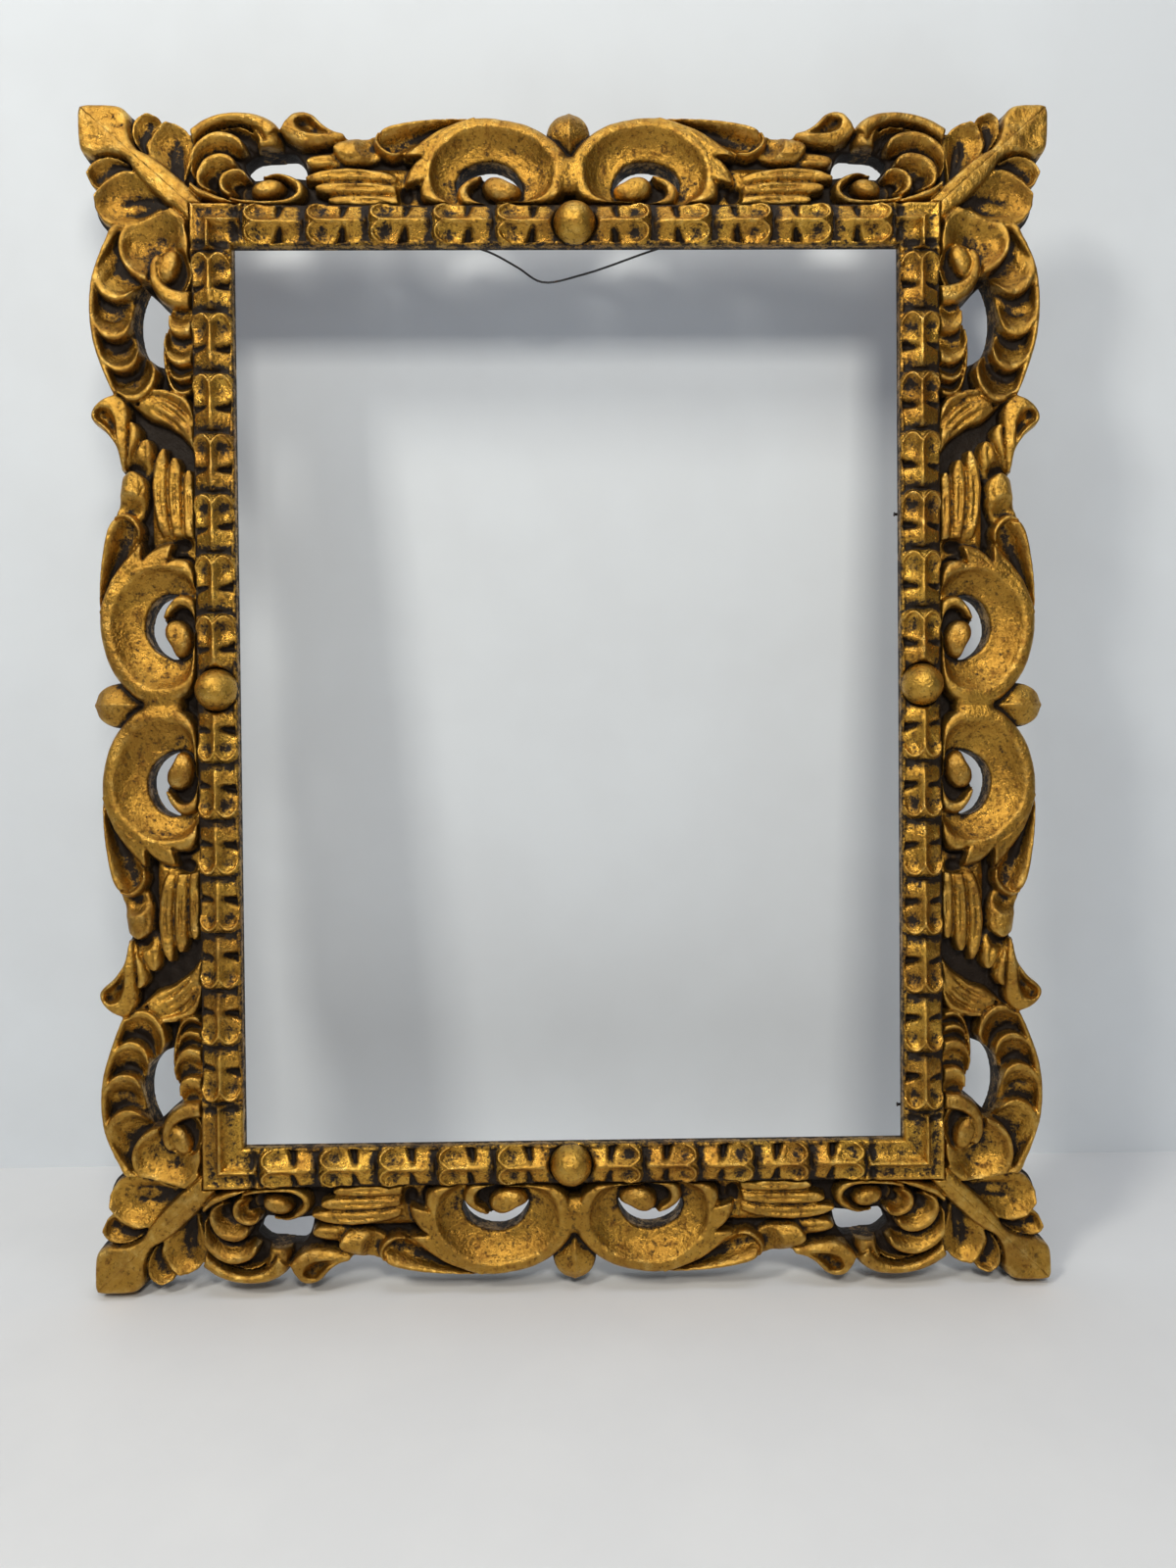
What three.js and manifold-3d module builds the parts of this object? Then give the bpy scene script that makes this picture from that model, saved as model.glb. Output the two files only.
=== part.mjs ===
// A carved and gilded picture frame for a 12 x 16 in panel, hung by a wire.
// Four mitred sight mouldings sit in the ledges of four pierced scrollwork borders, a turned
// half bead marks the middle of each side, and the wire swings in two screw eyes on the back.
//
// Frame of the part: millimetres, +X right and +Z up as seen from the front, the front faces -Y.
// The back faces lie in y = 0, and z = 0 is the height of the screw eyes, on the centre line.
//
// The carving is drawn once for a half rail, in the rail's own coordinates:
//   a  along the rail, from the middle of the side towards the corner
//   t  across it, outwards from the sight edge
//   h  height above the back face
import * as THREE from "three";
import { mergeVertices } from "three/addons/utils/BufferGeometryUtils.js";
import Module from "manifold-3d";

const wasm = await Module();
wasm.setup();

// Driving dimensions. The lip covers PANEL_COVERED of a 305 x 406 panel along its sides and ends.
const SIGHT_W = 292;
const SIGHT_H = 395;
const PANEL_COVERED = { side: 6.5, end: 5.5 };
const PANEL_ROOM = 3;
const BORDER_SIDE = 66.5;
const BORDER_TOP = 61.5;
const BORDER_BOTTOM = 64.3;
const MOULDING_W = 18;
const LIP_FRONT = 19.5;
const LIP_T = 7.2;
const RIDGE_H = 24.3;
const VALLEY_H = 17.4;
const LEDGE_H = 8;
const LEDGE_W = 5;
const GROUND_H = 10;
const FOOT_H = 14;
const ROOT_H = 3;
const RIM_H = 20;
const EAR_TUCK = 0.6;
const FIT = 0.3;
const BOSS_D = 18.6;
const BOSS_RISE = 10.4;
const BOSS_SIDES = 16;
const BOSS_RINGS = 4;

// Hardware. The eyes stand EYE_RISE above the sight opening. The brads lie BRAD_SINK behind the
// back of the lip, stand BRAD_OUT into the opening, and are placed from its upper and lower edges.
const EYE_SPAN = 132;
const EYE_RISE = 22;
const EYE_RING_R = 3.6;
const EYE_WIRE_D = 1.7;
const EYE_BACK = 7.2;
const SHANK_LEN = 5;
const SHANK_POINT = 2;
const SHANK_D = 2.2;
const BRAD_D = 1.2;
const BRAD_HEAD_D = 2;
const BRAD_HEAD_T = 0.6;
const BRAD_LEN = 16;
const BRAD_OUT = 0.7;
const BRAD_SINK = 3.1;
const BRAD_BELOW_TOP = 116.4;
const BRAD_ABOVE_BOTTOM = 13;
const WIRE_D = 0.95;
const SLACK = [[-35.9, -14.4], [-22.5, -21.6], [-11.5, -28.2], [7.4, -24.8], [38, -14.4]];
const SLACK_IN = 0.8;
const WOUND_TURNS = 3;
const WOUND_R = 1.42;
const WOUND_PITCH = 1.5;
const WOUND_FROM = 3;

// Length of the straight steps along the board's edge and its piercings
const EDGE_PITCH = 14;
const HOLE_PITCH = 10;

// The drawing is made for this width of side, and each rail stretches it to its own
const DRAWN_W = 66.5;
const DRAWN_SIGHT = { wide: 146, tall: 197.5 };

const GILT = { color: 0xa87c2c, metalness: 0.85, roughness: 0.38 };
const BRIGHT_GILT = { color: 0xc39a3c, metalness: 0.9, roughness: 0.3 };
const STEEL = { color: 0x35353a, metalness: 0.85, roughness: 0.5 };

// Solids from three.js geometry

function solid(geometry) {
  const bare = new THREE.BufferGeometry();
  bare.setAttribute("position", geometry.getAttribute("position"));
  if (geometry.index) bare.setIndex(geometry.index);
  const merged = mergeVertices(bare, 1e-4);
  const made = new wasm.Manifold(
    new wasm.Mesh({
      numProp: 3,
      vertProperties: new Float32Array(merged.attributes.position.array),
      triVerts: new Uint32Array(merged.index.array),
    }),
  );
  if (made.volume() > 0) return made;
  const turned = Array.from(merged.index.array);
  for (let i = 0; i < turned.length; i += 3) {
    [turned[i], turned[i + 1]] = [turned[i + 1], turned[i]];
  }
  return new wasm.Manifold(
    new wasm.Mesh({
      numProp: 3,
      vertProperties: new Float32Array(merged.attributes.position.array),
      triVerts: new Uint32Array(turned),
    }),
  );
}

function joined(solids) {
  return solids.reduce((whole, next) => whole.add(next)).asOriginal();
}

function without(body, cutters) {
  return cutters.reduce((rest, cutter) => rest.subtract(cutter), body).asOriginal();
}

function geometryOf(body, place = () => {}) {
  const mesh = body.getMesh();
  const positions = new Float32Array(mesh.numVert * 3);
  const point = new THREE.Vector3();
  for (let i = 0; i < mesh.numVert; i += 1) {
    point.fromArray(mesh.vertProperties, i * mesh.numProp);
    place(point);
    point.toArray(positions, i * 3);
  }
  const geometry = new THREE.BufferGeometry();
  geometry.setAttribute("position", new THREE.BufferAttribute(positions, 3));
  geometry.setIndex(Array.from(mesh.triVerts));
  return geometry;
}

// The solid with each vertex moved by `place`.
function placed(body, place) {
  return solid(geometryOf(body, place));
}

// Drawing tools, all in (a, t, h)

function splineOf(points) {
  return new THREE.SplineCurve(points.map(([a, t]) => new THREE.Vector2(a, t)));
}

function curve(points, steps) {
  return splineOf(points).getPoints(steps);
}

function flatShape(points) {
  return new THREE.Shape(points.map(([a, t]) => new THREE.Vector2(a, t)));
}

// A closed outline from curves that meet at sharp points.
function outline(runs, pitch) {
  const points = [];
  for (const run of runs) {
    const length = splineOf(run).getLength();
    const steps = run.length === 2 ? 1 : Math.max(2, Math.round(length / pitch));
    points.push(...curve(run, steps).slice(0, -1));
  }
  return new THREE.Shape(points);
}

function board(shape, bottom, top) {
  const geometry = new THREE.ExtrudeGeometry(shape, { depth: top - bottom, bevelEnabled: false });
  geometry.translate(0, 0, bottom);
  return solid(geometry);
}

function block(a0, a1, t0, t1, h0, h1) {
  const geometry = new THREE.BoxGeometry(a1 - a0, t1 - t0, h1 - h0);
  geometry.translate((a0 + a1) / 2, (t0 + t1) / 2, (h0 + h1) / 2);
  return solid(geometry);
}

// Triangles that fill a ring of points, wound the way the ring is.
function cap(ring) {
  const corners = ring.map((point) => new THREE.Vector3(...point));
  const normal = new THREE.Vector3();
  for (let i = 2; i < corners.length; i += 1) {
    const first = corners[i - 1].clone().sub(corners[0]);
    normal.add(first.cross(corners[i].clone().sub(corners[0])));
  }
  const right = corners[1].clone().sub(corners[0]).normalize();
  const up = normal.clone().cross(right).normalize();
  const flat = corners.map((corner) => new THREE.Vector2(corner.dot(right), corner.dot(up)));
  return THREE.ShapeUtils.triangulateShape(flat, []);
}

// A closed surface through rings of points, with a flat cap at each end.
function loft(rings) {
  const size = rings[0].length;
  const positions = rings.flat().flat();
  const index = [];
  for (let r = 0; r + 1 < rings.length; r += 1) {
    for (let i = 0; i < size; i += 1) {
      const j = (i + 1) % size;
      const [p, q] = [r * size + i, r * size + j];
      index.push(p, q, q + size, p, q + size, p + size);
    }
  }
  const last = (rings.length - 1) * size;
  for (const [i, j, k] of cap(rings[0])) index.push(k, j, i);
  for (const [i, j, k] of cap(rings[rings.length - 1])) index.push(last + i, last + j, last + k);
  const geometry = new THREE.BufferGeometry();
  geometry.setAttribute("position", new THREE.Float32BufferAttribute(positions, 3));
  geometry.setIndex(index);
  return solid(geometry);
}

// A carved ribbon between an outer and an inner line. `section` lists [share across, height],
// and `swell` raises or sinks the heights above the ground along the way.
function ribbon(outer, inner, steps, section, swell = () => 1) {
  const outside = curve(outer, steps);
  const inside = curve(inner, steps);
  const rings = outside.map((o, k) => {
    const i = inside[k];
    const rise = swell(k / steps);
    const top = section.map(([share, height]) => [
      o.x + (i.x - o.x) * share,
      o.y + (i.y - o.y) * share,
      height > GROUND_H ? GROUND_H + (height - GROUND_H) * rise : height,
    ]);
    return [[o.x, o.y, ROOT_H], ...top, [i.x, i.y, ROOT_H]];
  });
  return loft(rings);
}

// An egg-shaped solid, turned by `degrees` in the plane of the rail.
function egg([a, t, h], [ra, rt, rh], degrees, around = 14, down = 7) {
  const geometry = new THREE.SphereGeometry(1, around, down);
  geometry.rotateX(Math.PI / 2);
  geometry.scale(ra, rt, rh);
  geometry.rotateZ(THREE.MathUtils.degToRad(degrees));
  geometry.translate(a, t, h);
  return solid(geometry);
}

// An egg cut flat at the back face, standing on it.
function bead(at, radii, degrees, around, down) {
  const whole = egg([at[0], at[1], at[2]], radii, degrees, around, down);
  const reach = Math.max(...radii) + 1;
  return whole.subtract(
    block(at[0] - reach, at[0] + reach, at[1] - reach, at[1] + reach, -reach, at[2] - radii[2] * 0.5),
  );
}

// Sections of the carving, as [share across, height]
const BOWL = [[0, FOOT_H], [0.24, RIM_H], [0.55, 14.6], [1, 12.4]];
const CORD = [[0.2, 16.4], [0.8, 16.4]];
const RIM = [[0, FOOT_H], [0.6, RIM_H], [1, 16.5]];
const CHANNEL = [[0, FOOT_H], [0.22, 18.8], [0.65, 15.4], [1, 17.8]];
const SHELL = [[0, 14], [0.25, 18.6], [1, 12.8]];
const LOBE = [[0, 13.4], [0.4, 17.6], [1, 11.6]];
const FLUTE = [[0, 12], [0.5, 16.4], [1, 12]];

// The C scroll at the middle of the side: a wide bowl that winds in to a bead.

const CRESCENT = [
  [[20, 27.4], [20.6, 32], [24, 37.6], [29.3, 41], [34.6, 41.8], [41, 40.4], [46.4, 36.8], [49, 31.4],
    [48.4, 27]],
  [[48.4, 27], [42, 31], [36, 32.6], [30, 31.8], [25, 29], [20, 27.4]],
];

function centreScroll() {
  const bowl = ribbon(
    [[56, 18.4], [63, 22], [65.5, 28.5], [66, 34.5], [64, 41.5], [58.5, 49.5], [50, 57], [38, 60.6],
      [25, 59.2],
      [13.5, 55], [5, 48], [0.6, 41.5], [0, 34.5], [1, 27.5], [4, 22], [10, 18.6], [19, 18.4], [30, 18.4]],
    [[45, 18.5], [47.2, 23], [47.8, 28.5], [47, 33.5], [44.5, 37], [41, 39.3], [37.2, 40.3],
      [33.5, 40.6], [29.3, 40],
      [25.5, 38.3], [22.6, 35.5], [21.2, 32], [21, 29], [21.5, 26], [23, 23.6], [26, 21.6],
        [29.5, 20.8], [33.5, 20.4]],
    9,
    BOWL,
  );
  const coil = ribbon(
    [[36, 18.4], [44.8, 19.4], [46.8, 22.5], [46.9, 26], [45.2, 29.6], [41.3, 32.5], [35.8, 33.9],
      [29.8, 33.2], [24, 30]],
    [[33, 19.6], [38.4, 19.8], [41.4, 22], [42.6, 25.5], [41.4, 28.6], [38.4, 30.4], [34.4, 30],
      [30, 28], [26, 26.5]],
    4,
    CORD,
  );
  return [bowl, coil, bead([29.5, 26.6, 11], [8.2, 5.4, 6.6], 8, 7, 4)];
}

// Leaf points on the flank of the scroll, from the outer edge in.
function flankLeaves() {
  const points = [[50, 56], [60, 53], [69, 47.4], [74, 42], [68, 41.4], [71.4, 36], [72.4, 31],
    [71.4, 26.8], [66, 29.4],
    [65.4, 23.4], [61, 18.5], [54, 30], [54, 44]];
  return board(flatShape(points), ROOT_H, 17.6);
}

// The acanthus wave along the outer edge, its spoon end and the lobes behind it.
function wave(earAt) {
  const stretch = (earAt - 84) / (127 - 84);
  const at = ([a, t]) => [a > 84 ? 84 + (a - 84) * stretch : a, t];
  const spoon = ribbon(
    [[40, 61], [51, 60.4], [62, 59.4], [73, 57.6], [80, 55.4], [84, 52]],
    [[40, 57.6], [51, 54], [62, 49], [70, 44], [76, 41.5], [83, 45]],
    4,
    CHANNEL,
    (f) => 0.85 + 0.15 * f,
  );
  const second = ribbon(
    [[82, 54.6], [88, 52.6], [95, 51.2], [101, 50.6], [102.5, 48]].map(at),
    [[80, 44], [86, 42.4], [92, 40], [98, 39.6], [102, 43]].map(at),
    3,
    FLUTE,
  );
  const third = ribbon(
    [[100, 50.8], [108, 50.8], [115, 50], [121, 48.6], [123.4, 46]].map(at),
    [[98, 40], [104, 38.4], [110, 38], [117, 40.4], [122.6, 42.6]].map(at),
    3,
    FLUTE,
  );
  return [spoon, second, third];
}

// The curled tip that closes the wave; its outer line is the edge of the board, and its foot
// runs in under the arm of the corner scroll.
function ear(edge) {
  const end = edge[edge.length - 1];
  const outer = [...edge.slice(0, -1), [end[0] + EAR_TUCK, end[1] - EAR_TUCK]];
  const inner = edge.map(([a, t], k) => {
    const f = k / (edge.length - 1);
    return [a + (end[0] - 7 - a) * 0.25 * f, Math.min(t, 52) - 3.6 - 3 * f];
  });
  return ribbon(outer, inner, 4, [[0, FOOT_H], [0.4, 16], [1, 18]]);
}

const FLUTES = [
  [
    [[68, 39], [80, 36.8], [92, 35.6], [104, 35.4], [111, 34]],
    [[68, 31], [80, 30], [92, 29], [104, 27.6], [112, 29]],
  ],
  [
    [[68, 31.4], [80, 30.4], [92, 28.4], [101, 27], [104.6, 24.6]],
    [[68, 24], [80, 23], [90, 21.6], [98, 21], [104.6, 20.5]],
  ],
  [
    [[70, 25], [78, 24], [86, 22.6], [94, 21.6], [101, 21]],
    [[70, 18.4], [78, 18.4], [86, 18.4], [94, 18.4], [101, 18.4]],
  ],
];

// Fluted leaves that run on from the scroll towards the corner, as far as `end`.
function palmette(end) {
  const at = ([a, t]) => [66 + ((a - 66) * (end - 66)) / 48, t];
  return FLUTES.map(([outer, inner]) => ribbon(outer.map(at), inner.map(at), 2, FLUTE));
}

function tongue() {
  const rings = [
    [-1, 41, 13, 13],
    [-1, 53, 14, 18.2],
    [-1, 64, 12, 14],
  ];
  const halfWidth = [2, 9.4, 3.6];
  return loft(
    rings.map(([a, t, low, high], k) => [
      [a, t, 0],
      [a, t, high],
      [0, t, high],
      [halfWidth[k] * 0.8, t - (k === 2 ? 0.8 : 0), low + 0.6],
      [halfWidth[k], t - (k === 2 ? 1.2 : 0), low - 1.6],
      [halfWidth[k], t - (k === 2 ? 1.2 : 0), 0],
    ]),
  );
}

// The tall side's corner scroll: a shell-edged arm, a hollow curl and a collared bead.

const SHELL_HOLE = [
  [[151, 32], [154, 38.6], [160, 43], [169, 44.8], [178, 44], [186, 41]],
  [[186, 41], [182, 36.6], [178, 32.6], [175, 27.6]],
  [[175, 27.6], [169, 29], [161, 31], [151, 32]],
];

function shellScroll(edge) {
  const arm = ribbon(
    [...edge, [215.4, 43.5], [218, 35], [216.6, 25.5]],
    [[132, 42], [144, 38], [154, 41.5], [163, 45], [172, 46.6], [181, 47], [190, 46], [199, 44.4],
      [207, 41], [211.6, 36],
      [212.6, 31], [210.5, 26.5]],
    8,
    [[0, FOOT_H], [0.3, 19.2], [1, 16.6]],
  );
  const scoops = [
    [141, 47, 5, 9.5, -28],
    [156, 50, 6.4, 9, -40],
    [170.5, 52, 6.4, 8.6, -52],
    [186.5, 52, 8.6, 6.8, -14],
  ];
  const cuts = scoops.map(([a, t, ra, rt, turn]) => egg([a, t, 21], [ra, rt, 6.6], turn, 6, 3));
  const inner = ribbon(
    [[134, 26], [139, 28], [146, 31.4], [154, 32.4], [163, 31], [171, 28.6], [178, 26.4]],
    [[134, 17], [141, 17], [148, 17], [156, 17], [164, 17], [172, 17], [178, 17]],
    3,
    [[0, 13], [0.35, 16.6], [1, 15]],
  );
  const curl = bowlOf([200, 33.2], 13.6, 0.98, 11.4);
  const collar = bowlOf([186.5, 27.6], 7.4, 0.74, 13);
  const fold = ribbon(
    [[115, 19.6], [120.5, 24], [125, 32], [129, 39], [134, 45], [138.4, 52]],
    [[121, 18.4], [131, 19], [137, 23], [139.6, 29.5], [141.6, 36], [146.6, 40]],
    3,
    CHANNEL,
    (f) => 0.6 + 0.4 * f,
  );
  return [
    without(arm, cuts),
    inner,
    curl,
    fold,
    collar,
    bead([191, 28.4, 12], [7, 5.4, 6.4], -24, 7, 4),
  ];
}

// A hollow with a raised lip, round in plan or flattened across the rail by `squash`.
function bowlOf([a, t], radius, squash, floor) {
  const profile = [
    [0, ROOT_H], [radius + 2.4, ROOT_H], [radius + 0.4, 18.8], [radius * 0.55, floor + 1], [0, floor],
  ];
  const geometry = new THREE.LatheGeometry(profile.map(([r, h]) => new THREE.Vector2(r, h)), 8);
  geometry.rotateX(Math.PI / 2);
  geometry.scale(1, squash, 1);
  geometry.translate(a, t, 0);
  return solid(geometry);
}

// The short side's corner scroll: nested shells inside an arm, and a spiral with a bead.

const COIL_HOLE = [
  [[116, 34.4], [118, 42], [121, 46.6], [125, 47], [130, 46.4], [137, 45.6], [142, 41.6]],
  [[142, 41.6], [140.6, 37.6], [137.6, 33.8]],
  [[137.6, 33.8], [131, 35], [124, 35.2], [116, 34.4]],
];

function coilScroll(edge) {
  const arm = ribbon(
    [...edge, [171.4, 46], [172.6, 37], [170.4, 29.5], [163, 22.6], [152, 18.6]],
    [[130, 47.6], [135, 52.4], [141, 56.6], [148, 57], [155.4, 54.4], [161.4, 49.4], [165.4, 43.4],
      [167, 37], [165.4, 31],
      [159.6, 26], [150, 22.4]],
    9,
    RIM,
  );
  const flap = ribbon(
    [[127, 55.6], [126.4, 51], [126.8, 47.4]],
    [[137, 57], [135.8, 51], [136, 46.6]],
    2,
    [[0, 13], [0.6, 18.4], [1, 14]],
  );
  const upper = ribbon(
    [[141, 46], [143, 51], [148, 54], [155, 53.4], [161, 49.6], [165, 43.6], [166.4, 36.4]],
    [[143, 44], [147, 47.4], [151, 48], [156, 46], [159.6, 42.4], [161.6, 38.6], [162.4, 34.6]],
    3,
    SHELL,
  );
  const lower = ribbon(
    [[144.4, 38], [147, 42], [152, 43.8], [158, 42.4], [162, 38], [163, 32], [160, 26]],
    [[147, 36.6], [149.6, 38.4], [152.6, 38.8], [156, 37.2], [158.2, 34.4], [158.6, 31], [156.6, 28]],
    3,
    SHELL,
  );
  const spiral = ribbon(
    [[136.6, 31], [139.6, 34.6], [144, 36], [148.6, 34], [151.4, 29.6], [150, 24.4], [144, 19.8],
      [132, 18.5],
      [122, 19], [117, 23.4], [116.8, 28.6], [120.4, 32.6], [126.6, 34.4], [133, 33.4]],
    [[140, 29], [141.4, 31.2], [143.6, 32], [146, 30.6], [147.2, 28], [146.4, 25.6], [141.6, 22.8],
      [132, 21.2],
      [124.4, 22], [121, 25], [121, 27.8], [123.6, 30], [127.6, 31.2], [132.6, 30.4]],
    10,
    CORD,
  );
  return [arm, flap, upper, lower, spiral, bead([131.6, 27, 11], [7, 4.2, 6], -16, 7, 4)];
}

const LEAF_LOBES = [
  [
    [[15, 47], [16.4, 56], [22, 60.6], [29, 57.6], [33.6, 50], [35, 43]],
    [[21, 37], [22.6, 47], [25, 51.4], [27.6, 49.6], [29.6, 45], [29, 38]],
  ],
  [
    [[30.6, 57], [34, 62], [38.6, 63.4], [43, 60.4], [44, 52]],
    [[33.6, 48], [35.6, 54], [38, 56.4], [39.4, 54.6], [39.6, 47]],
  ],
];

// Corner leaf, drawn from the sight corner: `start` is where the rail's own coordinates reach it.
function cornerLeaf(start) {
  const at = ([a, t]) => [start + a, t];
  const lobes = LEAF_LOBES.map(([outer, inner]) => ribbon(outer.map(at), inner.map(at), 3, LOBE));
  const stem = ribbon(
    [[14, 18.6], [18, 28], [27, 37.5], [38, 46.6], [44, 56], [50, 66], [58, 66.2], [65.5, 65.5]].map(at),
    [[19, 18], [24, 22], [34, 32], [46, 44], [52, 50], [58, 56], [62, 60], [67, 65]].map(at),
    5,
    [[0, FOOT_H], [0.25, 18], [1, 18.8]],
  );
  return [...lobes, stem];
}

// Edges of the two half boards, from the middle of the side to the tip of the corner.

const SCROLL_EDGE = [[0, 42], [3, 46], [6.5, 50], [11.5, 54.5], [17.5, 57.5], [26, 60], [34, 61],
  [41, 61.2], [51, 60.6], [62, 59.6],
  [73, 57.8], [81, 55.3], [88, 52.8]];

const TALL = {
  half: DRAWN_SIGHT.tall,
  ear: 127,
  wave: [[88, 52.8], [94, 51.4], [101, 50.8], [108, 50.8]],
  curl: [[108, 50.8], [114.5, 52.5], [120.5, 57], [124.5, 61.8], [127.5, 63.5], [131.5, 61.6],
    [134.5, 58], [136.6, 53]],
  scroll: [[136.6, 53], [143, 56], [151, 59], [159, 61.5], [168, 63], [177, 63.2], [186, 62.2],
    [194, 60], [202, 57], [210.5, 52.8]],
  leafStart: [[13, 52.8], [16, 58.4], [22, 61.4], [27, 60.8], [31, 59]],
  hole: SHELL_HOLE,
  carving: shellScroll,
};

const WIDE = {
  half: DRAWN_SIGHT.wide,
  ear: 116.5,
  wave: [[88, 53.4], [94, 53], [99, 53.6]],
  curl: [[99, 53.6], [104, 55], [108.5, 58.4], [112, 62.3], [116.5, 64.1], [120.8, 63.1],
    [123.8, 59.1], [125.6, 55]],
  scroll: [[125.6, 55], [128, 58.6], [133, 61.7], [139.5, 63.1], [147, 63], [154, 61.7], [161, 58.6],
    [167, 53.9]],
  leafStart: [[21, 53.9], [24, 58], [29, 59.8], [33, 58.6]],
  hole: COIL_HOLE,
  carving: coilScroll,
};

function leafEdge({ half, leafStart }) {
  const from = leafStart[leafStart.length - 1];
  const runs = [
    leafStart,
    [from, [34.6, 62.4], [39, 63.9], [44.2, 62]],
    [[44.2, 62], [47.6, 65.2], [53, 66.5], [60, 66.5], [64.6, 65.7], [66.6, 64]],
  ];
  return runs.map((run) => run.map(([a, t]) => [half + a, t]));
}

// Half of a border board in the drawing's own coordinates, cut along the mitre.
function borderHalf(side) {
  const { half } = side;
  const inner = MOULDING_W - LEDGE_W + FIT;
  const past = 1;
  const edge = [SCROLL_EDGE, side.wave, side.curl, side.scroll, ...leafEdge(side)];
  const tip = edge[edge.length - 1];
  const runs = [
    [[-past, inner], [-past, SCROLL_EDGE[0][1]]],
    [[-past, SCROLL_EDGE[0][1]], SCROLL_EDGE[0]],
    ...edge,
    [tip[tip.length - 1], [half + DRAWN_W + 2, 50]],
    [[half + DRAWN_W + 2, 50], [half + DRAWN_W + 2, inner]],
    [[half + DRAWN_W + 2, inner], [-past, inner]],
  ];
  const holes = [CRESCENT, side.hole].map((hole) => board(outline(hole, HOLE_PITCH), -1, GROUND_H + 1));
  const plate = without(board(outline(runs, EDGE_PITCH), 0, GROUND_H), holes);
  const leaves = [flankLeaves(), ...wave(side.ear), ...palmette(side.ear - 12)];
  const centre = [...centreScroll(), ...leaves, tongue()];
  const corner = [...side.carving(side.scroll), ...cornerLeaf(half), ear(side.curl)];
  const whole = joined([plate, ...centre, ...corner]);
  const big = DRAWN_W * 4;
  const seat = block(-big, half + big, -big, MOULDING_W + FIT, LEDGE_H, big);
  const behind = block(-big, half + big, -big, inner, -big, big);
  const mitre = [[half - FIT, 0], [half - FIT + big, big], [half + big * 2, big], [half + big * 2, 0]];
  const beyond = board(flatShape(mitre), -1, RIM_H * 2);
  const before = block(-big, 0, -1, big, -1, big);
  return without(whole, [seat, behind, beyond, before]);
}

// How far each carved feature drifts along its rail from the drawing, quarter by quarter, since the
// carving is uneven: at the middle, the bowl, the spoon end, the ear, the eye and the notch.
const DRIFT_AT = { tall: [0, 30, 82, 127, 155, 191, 211], wide: [0, 29, 84, 116, 139, 150, 168] };
const DRIFT = {
  top: { left: [-1.5, 0, -1, -2, 0, 0, -2], right: [1.5, 0, 3, 1.5, 0.5, 0.5, 2] },
  bottom: { left: [0.5, 1, 2.5, 1, 0.5, 0, -1], right: [-0.5, -1, -1, -0.5, -1, -1, 0] },
  left: { top: [-2, -1.5, -3, -3, -4, -3, -4], bottom: [2, 2.5, 1.5, 2, 3.5, 2, -1] },
  right: { top: [-5, -4, -6, -5.5, -4, -0.5, -4], bottom: [5, 4.5, 5, 5, 3.5, 3, 3] },
};

function between(at, values, x) {
  if (x <= at[0]) return values[0];
  for (let k = 1; k < at.length; k += 1) {
    if (x <= at[k]) {
      const f = (x - at[k - 1]) / (at[k] - at[k - 1]);
      return values[k - 1] + (values[k] - values[k - 1]) * f;
    }
  }
  return values[values.length - 1];
}

// The drawing's t, or its a beyond the sight corner, at a rail of another width.
function across(t, width) {
  const stretch = (width - MOULDING_W) / (DRAWN_W - MOULDING_W);
  return t <= MOULDING_W ? t : MOULDING_W + (t - MOULDING_W) * stretch;
}

const FADE = 22;

// Place of a drawn point along the rail, measured from the middle of the sight edge.
function along(a, t, { half, drawnHalf, drift, driftAt, endWidth }) {
  const shift = between(driftAt, drift, a);
  const clear = THREE.MathUtils.clamp((t - (a - drawnHalf)) / FADE, 0, 1);
  const plain = a <= drawnHalf ? (a * half) / drawnHalf : half + across(a - drawnHalf, endWidth);
  return plain + shift * clear;
}

const RAILS = {
  top: { wide: true, sign: 1, width: BORDER_TOP, ends: { left: BORDER_SIDE, right: BORDER_SIDE } },
  bottom: { wide: true, sign: -1, width: BORDER_BOTTOM, ends: { left: BORDER_SIDE, right: BORDER_SIDE } },
  left: { wide: false, sign: -1, width: BORDER_SIDE, ends: { top: BORDER_TOP, bottom: BORDER_BOTTOM } },
  right: { wide: false, sign: 1, width: BORDER_SIDE, ends: { top: BORDER_TOP, bottom: BORDER_BOTTOM } },
};

const MIDDLE_Z = -(SIGHT_H / 2 + EYE_RISE);

// Rail coordinates (s along, v across, h up from the back) to the part's own.
function toPart(point, rail, end) {
  const [s, v, h] = point.toArray();
  const endSign = end === "left" || end === "bottom" ? -1 : 1;
  if (rail.wide) point.set(endSign * s, -h, MIDDLE_Z + rail.sign * (SIGHT_H / 2 + v));
  else point.set(rail.sign * (SIGHT_W / 2 + v), -h, MIDDLE_Z + endSign * s);
}

// Sight moulding: a lipped strip with a row of husks that run from the middle bead to the corners.
// Each row stops this far short of the sight corner, where a plain block closes it.

const HUSK_SHORT = {
  top: { left: 3.6, right: 1.8 },
  bottom: { left: 5.7, right: 16 },
  left: { top: 2, bottom: 19.5 },
  right: { top: 2, bottom: 11.5 },
};
const BOSS_AT = { top: 3.4, bottom: -1.9, left: 4.2, right: 4.2 };
const HUSK_COUNT = { wide: 5, tall: 7 };
const HUSK_TUCK = 1.9;

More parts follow.
